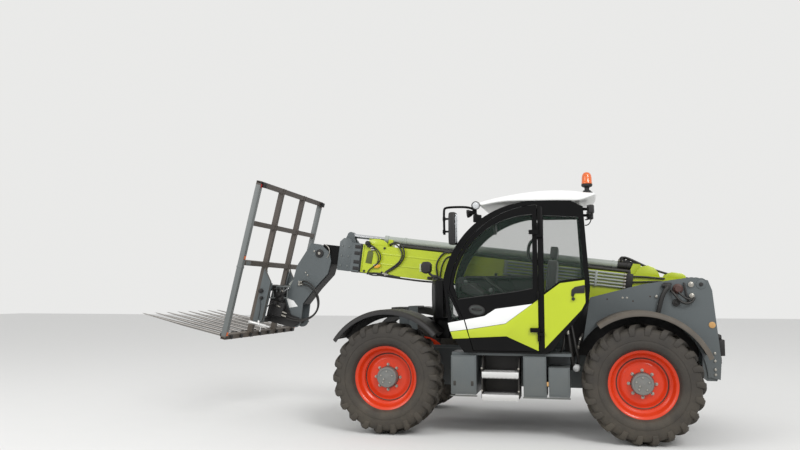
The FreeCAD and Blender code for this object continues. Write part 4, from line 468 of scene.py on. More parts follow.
def make_repeat_tree():
    """Geometry Nodes: copies of a part, each turned and moved on from the one before."""
    tree = bpy.data.node_groups.new("Repeated part", "GeometryNodeTree")
    face = tree.interface
    face.new_socket("Geometry", in_out="INPUT", socket_type="NodeSocketGeometry")
    for title, kind in (("Count", "Int"), ("Turn", "Vector"), ("Centre", "Vector"),
                        ("Step", "Vector"), ("Finish", "Material")):
        face.new_socket(title, in_out="INPUT", socket_type="NodeSocket" + kind)
    face.new_socket("Geometry", in_out="OUTPUT", socket_type="NodeSocketGeometry")
    make = tree.nodes.new
    given, out = make("NodeGroupInput"), make("NodeGroupOutput")
    single, copies = make("GeometryNodeGeometryToInstance"), make("GeometryNodeDuplicateElements")
    copies.domain = "INSTANCE"
    turn, move = make("GeometryNodeRotateInstances"), make("GeometryNodeTranslateInstances")
    real, paint = make("GeometryNodeRealizeInstances"), make("GeometryNodeSetMaterial")
    angle, offset = make("ShaderNodeVectorMath"), make("ShaderNodeVectorMath")
    angle.operation = offset.operation = "SCALE"
    link = tree.links.new
    link(given.outputs["Geometry"], single.inputs[0])
    link(single.outputs[0], copies.inputs["Geometry"])
    link(given.outputs["Count"], copies.inputs["Amount"])
    index = copies.outputs["Duplicate Index"]
    for scale, source in ((angle, "Turn"), (offset, "Step")):
        link(given.outputs[source], scale.inputs[0])
        link(index, scale.inputs["Scale"])
    link(copies.outputs["Geometry"], turn.inputs["Instances"])
    link(angle.outputs[0], turn.inputs["Rotation"])
    link(given.outputs["Centre"], turn.inputs["Pivot Point"])
    turn.inputs["Local Space"].default_value = False
    link(turn.outputs[0], move.inputs["Instances"])
    link(offset.outputs[0], move.inputs["Translation"])
    move.inputs["Local Space"].default_value = False
    link(move.outputs[0], real.inputs[0])
    link(real.outputs[0], paint.inputs["Geometry"])
    link(given.outputs["Finish"], paint.inputs["Material"])
    link(paint.outputs[0], out.inputs["Geometry"])
    return tree


REPEAT = make_repeat_tree()


def repeated(piece, count, turn=(0, 0, 0), centre=(0, 0, 0), step=(0, 0, 0), smooth=35):
    """Makes a piece of many copies of what was built; angles in degrees, frame of the row."""
    body, name, paint = piece.body, piece.name, piece.paint
    piece.body = None
    made = piece.done(smooth)
    rule = made.modifiers.new("Repeat", "NODES")
    rule.node_group = REPEAT
    values = {"Count": count, "Turn": tuple(math.radians(t) for t in turn),
              "Centre": tuple(centre), "Step": tuple(step), "Finish": paint}
    for socket in REPEAT.interface.items_tree:
        if socket.in_out == "INPUT" and socket.name in values:
            rule[socket.identifier] = values[socket.name]
    bpy.context.view_layer.update()
    graph = bpy.context.evaluated_depsgraph_get()
    plain = bpy.data.meshes.new_from_object(made.evaluated_get(graph))
    plain.name = name
    made.modifiers.remove(rule)
    old = made.data
    made.data = plain
    bpy.data.meshes.remove(old)
    if body:
        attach(made, body)
    return made


# Wheels

LUGS = 22


def tyre_profile():
    """Half of the casing from the tread's middle to the bead: (out from the middle, radius)."""
    return [(0.0, 0.572), (0.1, 0.57), (0.17, 0.562), (0.203, 0.548), (0.218, 0.52),
        (0.2265, 0.486), (0.2295, 0.452), (0.229, 0.446), (0.2255, 0.444), (0.2285, 0.438),
        (0.228, 0.415), (0.2215, 0.384), (0.206, 0.366), (0.19, 0.358), (0.172, 0.352),
        (0.16, 0.345), (0.15, 0.338)]


def lug_mesh(side):
    """One lug of the left or right row: narrow at the middle, wide over the shoulder."""
    part = bmesh.new()
    stations = [(-0.018, 0.0, 0.017, 0.604), (0.05, 0.03, 0.02, 0.605),
        (0.12, 0.066, 0.024, 0.603), (0.18, 0.094, 0.028, 0.596), (0.212, 0.106, 0.031, 0.574),
        (0.2265, 0.112, 0.032, 0.54), (0.23, 0.116, 0.03, 0.506), (0.229, 0.118, 0.028, 0.494)]
    loops = []
    for out, along, half, top in stations:
        deep = (out, top - 0.05) if out < 0.2 else (out - 0.03, top - 0.004)
        loop = []
        for width, (level, radius) in ((-half * 1.22, deep), (-half, (out, top)), (half,
                (out, top)), (half * 1.22, deep)):
            angle = (along + width) / 0.6
            loop.append(part.verts.new((radius * math.sin(angle), side * level,
                radius * math.cos(angle))))
        loops.append(loop)
    bridge(part, loops)
    return part


def make_wheel(end, side):
    """Tyre with lugs, spun rim with its disc and bolts, and the hub's cap."""
    s = SIDES[side]
    body = f"wheel_{end}_{side}"
    place = MACHINE @ Matrix.Translation((AXLES[end], s * WHEEL_OUT, AXLE_UP))
    hub_point = place.translation
    half = tyre_profile()
    whole = [(-out, r) for out, r in reversed(half)] + half[1:]
    Piece(f"tyre_casing_{end}_{side}", rubber, body, place).lathe(whole + [(0.15, 0.322),
        (-0.15, 0.322)], steps=120, closed=True).done(50, replaces=[f"tyre_{end}_{side}"])
    for row, name in ((1, "outer"), (-1, "inner")):
        lug = Piece(f"lugs_{name}_{end}_{side}", rubber, body, place)
        lug.add(lug_mesh(row * s), soften=0.005)
        if row < 0:
            turn = Matrix.Rotation(math.radians(180 / LUGS), 4, "Y")
            shifted = place @ turn @ place.inverted()
            bmesh.ops.transform(lug.mesh, matrix=shifted, verts=lug.mesh.verts)
        repeated(lug, LUGS, turn=(0, 360 / LUGS, 0), centre=hub_point)
    rim = Piece(f"rim_shell_{end}_{side}", orange, body, place)
    barrel = [(0.158, 0.3475), (0.16, 0.344), (0.158, 0.336), (0.148, 0.318), (0.139, 0.311),
        (0.085, 0.307), (0.06, 0.285), (0.056, 0.268), (-0.056, 0.268), (-0.085, 0.3),
        (-0.139, 0.311), (-0.158, 0.336), (-0.16, 0.344), (-0.158, 0.3475), (-0.143, 0.3475),
        (-0.143, 0.32), (-0.086, 0.318), (-0.058, 0.278), (0.058, 0.278), (0.088, 0.318),
        (0.143, 0.32), (0.143, 0.3475)]
    rim.lathe([(s * a, r) for a, r in barrel], steps=120, closed=True)
    disc = [(0.026, 0.118), (0.026, 0.19), (0.02, 0.206), (0.006, 0.226), (0.004, 0.236),
        (0.004, 0.269), (0.022, 0.269), (0.022, 0.24), (0.026, 0.23), (0.04, 0.206),
        (0.043, 0.192), (0.043, 0.118)]
    rim.lathe([(s * a, r) for a, r in disc], steps=96, closed=True)
    rim.done(38, replaces=[f"rim_{end}_{side}"])
    # A dark ring of painted shade in the rim disc's groove.
    Piece(f"rim_groove_{end}_{side}", groove, body, place).lathe([(s * a, r)
        for a, r in ((0.0222, 0.25), (0.0245, 0.252), (0.0245, 0.26), (0.0222, 0.262))], steps=96,
        closed=True).done()
    hub = Piece(f"hub_cap_{end}_{side}", hub_grey, body, place)
    cap = [(-0.03, 0.0), (-0.03, 0.092), (0.004, 0.092), (0.004, 0.176), (0.026, 0.178),
        (0.0265, 0.1155), (0.06, 0.115), (0.1, 0.1125), (0.116, 0.1085), (0.121, 0.102),
        (0.122, 0.094), (0.122, 0.088), (0.118, 0.085), (0.118, 0.03), (0.12, 0.024), (0.12, 0.0)]
    hub.lathe([(s * a, r) for a, r in cap], steps=64)
    hub.done(30, replaces=[f"hub_{end}_{side}"])
    bolt = Piece(f"hub_bolts_{end}_{side}", zinc, body, place)
    bolt.pin((0, 0.066), s * 0.116, s * 0.1255, 0.0095, sides=6, soften=0.001)
    repeated(bolt, 5, turn=(0, 72, 0), centre=hub_point)
    nut = Piece(f"wheel_nuts_{end}_{side}", zinc, body, place)
    nut.pin((0, 0.136), s * 0.042, s * 0.046, 0.017, steps=20)
    nut.pin((0, 0.136), s * 0.045, s * 0.063, 0.0125, sides=6, soften=0.0015)
    nut.pin((0, 0.136), s * 0.06, s * 0.07, 0.0075, steps=12, soften=0.001)
    repeated(nut, 8, turn=(0, 45, 0), centre=hub_point)
    Piece(f"drain_plug_{end}_{side}", zinc, body, place).pin((0.03, -0.02), s * 0.117, s * 0.128,
        0.01, sides=6, soften=0.001).done()


for axle in AXLES:
    for hand in SIDES:
        make_wheel(axle, hand)


# Mudguards

def make_mudguard(end, hand):
    """A rounded sheet over the wheel with its outer edge rolled down."""
    start, sweep = (33, 106) if end == "front" else (54, 104)
    guard = Piece(f"mudguard_{end}_{hand}", plastic if end == "front" else brown_lip)
    inner = 0.62 if end == "front" else 0.581
    bend = [math.radians(a) for a in (90, 72, 54, 36, 18)]
    under, outer = ([(1.075 + r * math.sin(a), 0.692 + r * math.cos(a)) for a in bend]
        for r in (0.04, 0.05))
    section = [(inner, 0.742), (1.06, 0.742)] + outer[::-1] + [(1.125, 0.686), (1.116, 0.686)]
    section += under + [(1.06, 0.731), (inner, 0.731)]
    section = [(SIDES[hand] * y, r) for y, r in section]
    guard.lathe(section, (AXLES[end], 0, AXLE_UP), steps=60, closed=True, start=start, sweep=sweep)
    return guard


for axle in AXLES:
    for hand in SIDES:
        guard = make_mudguard(axle, hand)
        if axle == "front":
            stay = Vector((AXLES[axle] - 0.055, SIDES[hand] * 0.3, 1.335))
            guard.block((stay.x, stay.x + 0.11), sorted((SIDES[hand] * 0.25, SIDES[hand] * 0.66)),
                (1.339, 1.363), 0.004)
        guard.done(replaces=[f"{axle}_fenders"] if hand == "left" else ())


# Cab shell

SKIN = 1.045


def skin(name, paint, outline, body="chassis"):
    """A thin formed panel on the side of the cab."""
    Piece(name, paint, body).prism(outline, SKIN, SKIN + 0.005, soften=0.0015).done()


skin("door_white_band", white, [(0.477, 1.24), (0.263, 1.281), (0.145, 1.358), (-0.06, 1.386),
    (-0.245, 1.413), (0.042, 1.203), (0.447, 1.137)], "cab_door")
skin("door_lime_band", lime, [(0.447, 1.133), (0.042, 1.199), (-0.25, 1.414), (-0.306, 1.456),
    (-0.306, 0.918), (0.032, 1.068), (0.424, 1.046)], "cab_door")
skin("front_white_band", white, [(0.664, 1.204), (0.489, 1.238), (0.461, 1.136), (0.64, 1.113)])
skin("front_lime_band", lime, [(0.636, 1.109), (0.46, 1.132), (0.432, 1.043), (0.608, 1.034)])
latch = Piece("door_latch", plastic, "cab_door")
dish = [(0.345 + 0.088 * math.cos(math.radians(a)) + 0.014 * math.sin(math.radians(a)), 1.345
    + 0.058 * math.sin(math.radians(a))) for a in range(0, 360, 12)]
latch.prism(dish, SKIN, SKIN + 0.007, soften=0.003)
inner_dish = [(0.345 + (x - 0.345) * 0.82, 1.345 + (z - 1.345) * 0.82) for x, z in dish]
latch.pipe([(0.295, SKIN + 0.012, 1.345), (0.31, SKIN + 0.028, 1.35), (0.37, SKIN + 0.03, 1.356),
    (0.395, SKIN + 0.012, 1.356)], 0.01)
latch.done()
Piece("door_latch_bowl", bowl_grey, "cab_door").prism(inner_dish, SKIN + 0.006, SKIN + 0.0095,
    soften=0.002).done()
(Piece("rear_window_catch", plastic)
    .prism([(-0.672, 1.478), (-0.69, 1.525), (-0.79, 1.527), (-0.792, 1.612), (-0.69, 1.592),
        (-0.655, 1.56), (-0.65, 1.5)], SKIN + 0.008, SKIN + 0.022, soften=0.005)
    .pin((-0.672, 1.466), SKIN, SKIN + 0.035, 0.018, soften=0.004)
    .done())
Piece("pillar_strip", cab_black).prism([(-0.316, 0.905), (-0.368, 0.93), (-0.368, 2.44),
    (-0.316, 2.468)], SKIN, SKIN + 0.012, soften=0.004).done()
hinge = Piece("door_hinges", cab_black)
for up in (1.02, 1.46, 2.2):
    hinge.rod((-0.312, 1.069, up), (-0.312, 1.069, up + 0.075), 0.014, soften=0.002)
hinge.done()
Piece("door_seal", plastic, "cab_door").pipe([(-0.25, 1.036, 1.575), (-0.07, 1.036, 1.54),
    (0.545, 1.036, 1.46)], 0.007, tight=True).done()


def make_roof():
    """A crowned shell over the cab, with a rolled front edge and a lifted tail."""
    roof = Piece("roof_shell", white)
    stations = [(0.33, 2.5, 2.512), (0.3, 2.47, 2.528), (0.18, 2.5, 2.56), (0.02, 2.52, 2.592),
        (-0.16, 2.516, 2.622), (-0.33, 2.514, 2.64), (-0.5, 2.512, 2.643), (-0.64, 2.508, 2.635),
        (-0.74, 2.5, 2.622), (-0.82, 2.52, 2.604), (-0.89, 2.548, 2.594), (-0.936, 2.572, 2.588)]
    middle, half = 0.63, 0.431
    part = bmesh.new()
    loops = []
    for x, low, high in stations:
        shape = [(-1.0, 0.0), (-1.0, 0.35), (-0.985, 0.62), (-0.95, 0.8), (-0.86, 0.92),
            (-0.6, 0.98), (0.0, 1.0), (0.6, 0.98), (0.86, 0.92), (0.95, 0.8), (0.985, 0.62),
            (1.0, 0.35), (1.0, 0.0), (0.9, -0.02), (-0.9, -0.02)]
        loops.append([part.verts.new((x, middle + half * across, low + (high - low) * up))
            for across, up in shape])
    bridge(part, loops)
    roof.add(part)
    return roof.done(60, rounded=2, replaces=["cab_roof"])


make_roof()


# Inside the cab

def soft_cube():
    """A cube with a fine grid on each face, ready to be shaped."""
    part = bmesh.new()
    bmesh.ops.create_cube(part, size=2)
    bmesh.ops.subdivide_edges(part, edges=part.edges, cuts=10, use_grid_fill=True)
    return part


def padded_piece(name, part):
    """Makes a piece in woven cloth, rounded by subdivision."""
    piece = Piece(name, cloth)
    piece.add(part)
    piece.done(60, rounded=1)


def cushion(name, low, high, crown):
    """A padded form: a box whose faces crown and whose sides pull in between corners."""
    part = soft_cube()
    low, high = Vector(low), Vector(high)
    middle, half = (low + high) / 2, (high - low) / 2
    for vert in part.verts:
        a, b, c = vert.co
        pull = 1 - 0.05 * (1 - abs(c) ** 2)
        x, y = a * pull, b * pull
        x *= 1 - 0.04 * abs(b) ** 6
        y *= 1 - 0.04 * abs(a) ** 6
        z = c * (1 - 0.18 * max(abs(a), abs(b)) ** 5)
        swell = crown / half.z * (1 - a * a) * (1 - b * b) * c
        seam = 0.1 * math.exp(-((abs(b) - 0.42) / 0.05) ** 2) * (1 - a ** 4)
        z = z + swell - seam * c * (1 if abs(c) > 0.8 else 0)
        point = Vector((middle.x + half.x * x, middle.y + half.y * y, middle.z + half.z * z))
        vert.co = point
    padded_piece(name, part)


def upright_cushion(name, base, size, lean):
    """A cushion stood up: built flat, then turned to stand and lean back."""
    long, wide, thick = size
    part = soft_cube()
    for vert in part.verts:
        a, b, c = vert.co
        narrow = 1 - 0.1 * max(0.0, a)
        x = a * (1 - 0.03 * abs(b) ** 6)
        y = b * narrow * (1 - 0.05 * (1 - c * c)) * (1 - 0.05 * abs(a) ** 6)
        z = c * (1 - 0.2 * max(abs(a), abs(b)) ** 5)
        side = 0.35 * max(0.0, abs(b) - 0.55) / 0.45
        z += (0.25 * (1 - a * a) * (1 - b * b) + side * 0.5) * (1 if c > 0 else 0)
        z -= 0.1 * math.exp(-((abs(b) - 0.45) / 0.05) ** 2) * (1 if c > 0.8 else 0)
        vert.co = Vector((x * long / 2 + long / 2, y * wide / 2, z * thick / 2))
    stand = (Matrix.Translation(base) @ Matrix.Rotation(math.radians(-90 - lean), 4, "Y"))
    bmesh.ops.transform(part, matrix=stand, verts=part.verts)
    padded_piece(name, part)


MIDDLE = 0.63
cushion("seat_cushion", (-0.42, 0.39, 1.262), (0.05, 0.87, 1.372), 0.018)
upright_cushion("seat_backrest", (-0.405, MIDDLE, 1.372), (0.52, 0.46, 0.11), 6)
upright_cushion("seat_headrest", (-0.462, MIDDLE, 1.905), (0.135, 0.25, 0.08), 6)
base = Piece("seat_base", plastic)
base.block((-0.34, -0.02), (0.45, 0.81), (0.919, 0.985), 0.012)
for k in range(4):
    inset = 0.012 * (k % 2)
    base.block((-0.33 + inset, -0.03 - inset), (0.46 + inset, 0.8 - inset),
        (0.985 + 0.045 * k, 1.028 + 0.045 * k), 0.01)
base.block((-0.4, 0.03), (0.41, 0.85), (1.165, 1.262), 0.018)
for sign in (-1, 1):
    y = MIDDLE + sign * 0.265
    base.block((-0.36, 0.0), near(y, 0.03), (1.5, 1.55), 0.016, 3)
    base.block((-0.4, -0.35), near(y, 0.014), (1.3, 1.51), 0.006)
for y in near(MIDDLE, 0.06):
    base.rod((-0.452, y, 1.87), (-0.462, y, 1.93), 0.007)
base.done(replaces=["seat"])


def make_steering():
    """Column with its boot, and the wheel with three spokes and a knob."""
    Piece("steering_boot", plastic).prism([(0.3, 0.919), (0.455, 0.919), (0.42, 1.15),
        (0.35, 1.38), (0.235, 1.52), (0.185, 1.49), (0.27, 1.34), (0.32, 1.1)], MIDDLE - 0.062,
        MIDDLE + 0.062, soften=0.02, steps=3).done(replaces=["steering_column"])
    tilt = Matrix.Rotation(math.radians(-38), 4, "Y")
    hub = Vector((0.16, MIDDLE, 1.59))
    place = MACHINE @ Matrix.Translation(hub) @ tilt
    wheel = Piece("steering_wheel", plastic, place=place)
    ring = [(0.0125 * math.sin(math.radians(a)), 0.188 + 0.0125 * math.cos(math.radians(a)))
        for a in range(0, 360, 30)]
    wheel.lathe(ring, axis="z", steps=64, closed=True)
    wheel.lathe([(-0.04, 0), (-0.04, 0.03), (-0.01, 0.052), (0.004, 0.05), (0.008, 0.0)], axis="z",
        steps=32)
    for a in (90, 210, 330):
        c, s = math.cos(math.radians(a)), math.sin(math.radians(a))
        wheel.pipe([(0.03 * c, 0.03 * s, -0.006), (0.1 * c, 0.1 * s, -0.012),
            (0.182 * c, 0.182 * s, 0)], 0.01)
    wheel.rod((-0.165, 0.09, 0.008), (-0.165, 0.09, 0.058), 0.017, soften=0.006)
    wheel.rod((0, 0, -0.1), (0, 0, -0.02), 0.022)
    wheel.done()


make_steering()
(Piece("side_console", plastic)
    .prism([(-0.36, 0.919), (0.12, 0.919), (0.15, 1.18), (0.33, 1.47), (0.25, 1.52), (0.06, 1.36),
        (-0.12, 1.33), (-0.36, 1.34)], 0.262, 0.372, soften=0.014, steps=3)
    .prism([(0.3, 1.44), (0.56, 1.54), (0.54, 1.62), (0.44, 1.64), (0.28, 1.53)], 0.3, 0.9,
        soften=0.02, steps=3)
    .done(replaces=["dash_console"]))
(Piece("display", cab_black)
    .block((0.2, 0.222), (0.29, 0.43), (1.62, 1.76), 0.008, 3)
    .rod((0.215, 0.36, 1.5), (0.215, 0.36, 1.63), 0.011)
    .done())
knobs = Piece("console_switches", zinc)
for k in range(5):
    knobs.rod((-0.28 + 0.07 * k, 0.318, 1.335), (-0.28 + 0.07 * k, 0.318, 1.352), 0.01,
        soften=0.002)
knobs.done()
(Piece("boom_lever", plastic)
    .pipe([(-0.02, 0.4, 1.55), (0.01, 0.4, 1.62), (0.04, 0.4, 1.66)], 0.01)
    .lathe([(-0.045, 0.0), (-0.045, 0.017), (-0.01, 0.022), (0.03, 0.019), (0.045, 0.01),
        (0.045, 0.0)], (0.045, 0.4, 1.695), axis="z", steps=24)
    .done(50))
Piece("grab_handle", plastic).pipe([(-0.33, 0.985, 2.125), (-0.29, 0.965, 2.118),
    (-0.222, 0.955, 2.08), (-0.204, 0.95, 1.992), (-0.204, 0.95, 1.89), (-0.27, 0.96, 1.846),
    (-0.33, 0.985, 1.835)], 0.0175).done()
(Piece("inner_mirror", plastic)
    .prism(circle((MIDDLE + 0.2, 2.235), 0.105, 0.062), 0.15, 0.172, "yz", soften=0.006)
    .rod((0.172, 0.83, 2.26), (0.27, 0.83, 2.33), 0.008)
    .done())


(Piece("right_sill_trim", plastic)
    .prism([(0.68, 1.38), (0.69, 1.64), (0.64, 1.712), (0.56, 1.724), (-0.31, 1.734),
        (-0.31, 1.38)], 0.386, 0.398, soften=0.003)
    .block((-0.3, 0.56), (0.386, 0.44), (1.69, 1.726), 0.012, 3)
    .done())
switches = Piece("console_switches", edge_grey)
for k, (along, up) in enumerate(((0.575, 1.56), (0.54, 1.556), (0.505, 1.552), (0.47, 1.548),
        (0.43, 1.545))):
    switches.block(near(along, 0.01), (0.5, 0.56), (up - 0.01, up + 0.02), 0.004)
switches.pin((0.245, 1.56), 0.56, 0.6, 0.026, 24, 0.005)
switches.rod((0.56, 0.6, 1.54), (0.53, 0.64, 1.64), 0.01, 14)
switches.rod((0.53, 0.64, 1.64), (0.526, 0.646, 1.67), 0.02, 18, 0.006)
switches.done()


# Mirror, lamps and beacon

arm = Piece("mirror_arm", cab_black)
arm.pipe([(0.34, 1.0, 2.33), (0.35, 1.02, 2.43), (0.4, 1.045, 2.466), (0.56, 1.052, 2.47),
    (0.69, 1.056, 2.466), (0.7, 1.056, 2.44), (0.698, 1.056, 2.3), (0.694, 1.056, 2.165)], 0.013,
    resolution=8)
arm.block((0.29, 0.38), (0.985, 1.035), (2.3, 2.38), 0.008)
for up in (2.2, 2.34):
    arm.rod((0.63, 1.056, up), (0.712, 1.056, up), 0.011)
    arm.block((0.682, 0.712), (1.04, 1.072), near(up, 0.022), 0.005)
arm.done(replaces=["mirror"])
head = Piece("mirror_head", plastic)
outline = [(-0.085, -0.175), (0.07, -0.182), (0.088, -0.1), (0.09, 0.12), (0.07, 0.178),
    (-0.07, 0.182), (-0.09, 0.12), (-0.092, -0.12)]
head.prism([(1.052 + y, 2.232 + z) for y, z in outline], 0.56, 0.64, "yz", soften=0.024, steps=4)
head.done(45)
Piece("mirror_face", mirror_glass).prism([(1.052 + y * 0.86, 2.232 + z * 0.88)
    for y, z in outline], 0.5565, 0.5605, "yz", soften=0.001).done()


def round_lamp(name, centre, along, radius, depth):
    """A round lamp: a can with a rim and a domed lens, facing along a direction."""
    turn = Vector(along).to_track_quat("Z", "Y").to_matrix().to_4x4()
    place = MACHINE @ Matrix.Translation(centre) @ turn
    can = Piece(name + "_can", plastic, place=place)
    r = radius
    can.lathe([(-depth, 0), (-depth, r * 0.55), (-depth * 0.8, r * 0.75),
        (-depth * 0.35, r * 0.92), (-depth * 0.3, r), (0.004, r), (0.006, r * 0.97),
        (0.006, r * 0.88), (-0.004, r * 0.86), (-depth * 0.3, r * 0.5), (-depth * 0.32, 0)],
        axis="z", steps=40)
    can.done()
    Piece(name + "_lens", lens, place=place).lathe([(0.0, r * 0.86), (0.006, r * 0.8),
        (0.011, r * 0.5), (0.013, 0.0), (0.009, 0.0), (0.007, r * 0.5), (0.002, r * 0.78),
        (-0.003, r * 0.84)], axis="z", steps=40, closed=True).done(60)


def box_lamp(name, x, y, z, toward):
    """A rounded work lamp with cooling ribs behind and a lens in front."""
    lamp = Piece(name + "_box", plastic)
    lamp.block(x, y, z, 0.014, 3)
    back = x[0] if toward > 0 else x[1]
    for k in range(5):
        up = z[0] + (z[1] - z[0]) * (k + 0.5) / 5
        lamp.block(sorted((back, back - toward * 0.014)), (y[0] + 0.01, y[1] - 0.01),
            near(up, 0.004), 0.001)
    lamp.done()
    fore = x[1] if toward > 0 else x[0]
    Piece(name + "_lens", lens).block(sorted((fore - toward * 0.002, fore + toward * 0.005)),
        (y[0] + 0.012, y[1] - 0.012), (z[0] + 0.012, z[1] - 0.012), 0.002).done()


for hand, y in (("left", 0.965), ("right", 0.295)):
    box_lamp(f"rear_work_lamp_{hand}", (-0.905, -0.845), near(y, 0.055), (2.372, 2.462), -1)
stay = Piece("rear_lamp_stays", cab_black)
for y in (0.965, 0.295):
    stay.block((-0.85, -0.79), near(y, 0.014), (2.405, 2.435), 0.003)
    stay.pipe([(-0.88, y, 2.372), (-0.875, y - 0.02, 2.33), (-0.84, y - 0.03, 2.3),
        (-0.81, y - 0.03, 2.31)], 0.006)
stay.done(replaces=["work_lamps"])
round_lamp("side_work_lamp", (0.343, 1.075, 2.478), (-0.35, 0.93, 0.0), 0.046, 0.055)
(Piece("side_lamp_post", cab_black)
    .rod((0.345, 1.035, 2.38), (0.345, 1.045, 2.445), 0.009)
    .block((0.36, 0.44), (0.9, 1.0), (2.392, 2.432), 0.008)
    .done())
round_lamp("front_work_lamp_left", (0.455, 0.93, 2.405), (1, 0, -0.1), 0.045, 0.05)
round_lamp("front_work_lamp_right", (0.43, 0.33, 2.415), (1, 0, -0.1), 0.045, 0.05)

(Piece("headlamp_box", plastic)
    .prism([(0.876, 1.762), (0.944, 1.742), (0.976, 1.762), (0.982, 1.85), (0.962, 1.876),
        (0.898, 1.878), (0.872, 1.846)], 0.845, 0.955, soften=0.014, steps=3)
    .pipe([(0.9, 0.9, 1.756), (0.88, 0.9, 1.725), (0.832, 0.9, 1.712), (0.76, 0.9, 1.69),
        (0.7, 0.9, 1.64)], 0.014)
    .block((0.8, 0.862), (0.87, 0.93), (1.7, 1.728), 0.005)
    .done())
Piece("headlamp_lens", lens).block((0.99, 0.998), (0.858, 0.942), (1.765, 1.855), 0.003).done()

beacon_base = Piece("beacon_base", plastic)
at = (-0.838, 0.795, 0)
beacon_base.lathe([(2.622, 0), (2.622, 0.042), (2.64, 0.042), (2.646, 0.026), (2.672, 0.026),
    (2.684, 0.052), (2.69, 0.058), (2.708, 0.06), (2.714, 0.055), (2.714, 0.0)], at, "z", 40)
beacon_base.rod((-0.838, 0.795, 2.6), (-0.838, 0.795, 2.626), 0.06, soften=0.004)
beacon_base.done()
Piece("beacon_dome", amber).lathe([(2.714, 0.0), (2.714, 0.056), (2.724, 0.058), (2.728, 0.0555),
    (2.78, 0.053), (2.81, 0.048), (2.832, 0.035), (2.842, 0.018), (2.844, 0.0)], at, "z",
    48).done(50, replaces=["beacon"])


# Boom

def on_boom(name, paint, body="boom"):
    return Piece(name, paint, body, BOOM)


RAM_UP = 0.137
(on_boom("ram_hose_block", cast_black)
    .block((0.6, 0.7), (-0.052, 0.052), (0.085, 0.19), 0.006)
    .block((0.715, 0.8), (-0.036, 0.036), (0.172, 0.205), 0.005)
    .rod((0.735, 0.0, 0.195), (0.735, 0.0, 0.226), 0.016, **HEX)
    .rod((0.78, 0.0, 0.195), (0.78, 0.0, 0.222), 0.014, **HEX)
    .done())
ram_ring = on_boom("ram_rings", ram_grey)
for along in (0.9, 1.75, 2.6, 3.42):
    ram_ring.lathe([(along - 0.016, 0.0435), (along - 0.012, 0.048), (along + 0.012, 0.048),
        (along + 0.016, 0.0435)], (0, 0, RAM_UP), "x", 40)
ram_ring.lathe([(3.64, 0.0435), (3.644, 0.05), (3.688, 0.05), (3.692, 0.03), (3.692, 0.028)],
    (0, 0, RAM_UP), "x", 40)
ram_ring.done()
rear_hoses = on_boom("ram_rear_hoses", hose_rubber)
for y, back in ((0.012, 0.0), (-0.028, -0.045), (0.045, -0.02)):
    rear_hoses.pipe([(0.835 + back, y, 0.18), (0.83 + back, y, 0.215), (0.808 + back, y, 0.236),
        (0.77 + back, y, 0.226), (0.62 + back, y + 0.01, 0.172), (0.47, y + 0.02, 0.13),
        (0.33, y + 0.02, 0.096), (0.18, y + 0.02, 0.075), (0.06, y + 0.02, 0.066)], 0.0105)
# Three black hoses along the boom's top under the ram; their black also stands in for the shade
# under the cylinder.
for y in (-0.052, 0.0, 0.052):
    rear_hoses.pipe([(0.7, y, 0.0685), (1.6, y, 0.0685), (2.6, y, 0.0685), (3.48, y, 0.0685)],
        0.0235)
rear_hoses.pipe([(0.672, 0.178, 0.012), (0.56, 0.182, 0.03), (0.45, 0.178, 0.022),
    (0.33, 0.172, 0.03)], 0.01)
rear_hoses.pipe([(0.672, 0.178, -0.05), (0.58, 0.186, -0.04), (0.48, 0.182, -0.02),
    (0.36, 0.174, -0.01)], 0.01)
rear_hoses.done()
(on_boom("ram_rear_sleeve", cast_black)
    .lathe([(0.6, 0.044), (0.602, 0.048), (0.7, 0.0485), (0.704, 0.0525), (0.742, 0.0525),
        (0.746, 0.0485), (0.848, 0.048), (0.852, 0.044)], (0, 0, RAM_UP), "x", 40)
    .block((0.672, 0.748), (0.1605, 0.19), (-0.146, 0.044), 0.008)
    .block((0.7, 0.735), (0.06, 0.1605), (0.046, 0.062), 0.004)
    .done())
collars = on_boom("ram_rear_unions", zinc)
for along in (0.835, 0.8, 0.765):
    collars.rod((along, 0.02, 0.176), (along, 0.024, 0.202), 0.0145, **HEX)
collars.done()
side_pipes = on_boom("boom_side_pipes", ram_grey)
side_unions = on_boom("boom_side_unions", zinc)
for row in range(5):
    off = 0.024 - 0.037 * row
    side_pipes.pipe([(0.745, 0.176, off), (1.3, 0.176, off), (2.15, 0.176, off)], 0.0125)
    side_unions.rod((0.745, 0.176, off), (0.776, 0.176, off), 0.0165, **HEX)
for along in (1.08, 1.7, 2.12):
    side_pipes.block(near(along, 0.014), (0.1605, 0.1905), (-0.142, 0.04), 0.004)
side_pipes.done()
side_unions.done()
(on_boom("boom_rear_humps", lime)
    .both("prism", [(0.66, 0.044), (0.64, 0.09), (0.59, 0.14), (0.52, 0.162), (0.45, 0.14),
        (0.4, 0.09), (0.38, 0.044)], 0.128, 0.152, soften=0.006)
    .both("prism", [(0.33, 0.044), (0.31, 0.09), (0.26, 0.113), (0.146, 0.112), (0.11, 0.09),
        (0.09, 0.044)], 0.128, 0.152, soften=0.006)
    .done())
front_lines = on_boom("boom_pressings", lime)
for off in (-0.052, -0.178):
    front_lines.both("prism", [(2.3, off - 0.01), (3.66, off - 0.01), (3.68, off),
        (3.66, off + 0.01), (2.3, off + 0.01), (2.28, off)], 0.16, 0.1645, soften=0.004)
front_lines.both("prism", [(3.905, -0.3), (3.918, -0.3), (3.918, 0.03), (3.905, 0.03)], 0.158,
    0.172, soften=0.003)
front_lines.both("prism", [(3.6, 0.044), (3.62, 0.085), (3.66, 0.112), (3.72, 0.124),
    (3.78, 0.122), (3.84, 0.105), (3.88, 0.07), (3.89, 0.044)], 0.132, 0.16, soften=0.006)
front_lines.done()
bolt = on_boom("boom_front_pads", cast_black)
for sign in (-1, 1):
    for along, off, radius in ((3.86, 0.055, 0.026), (3.64, 0.02, 0.014), (3.872, -0.29, 0.014),
            (3.64, -0.285, 0.014)):
        bolt.pin((along, off), sign * 0.156, sign * 0.174, radius, 24, 0.003)
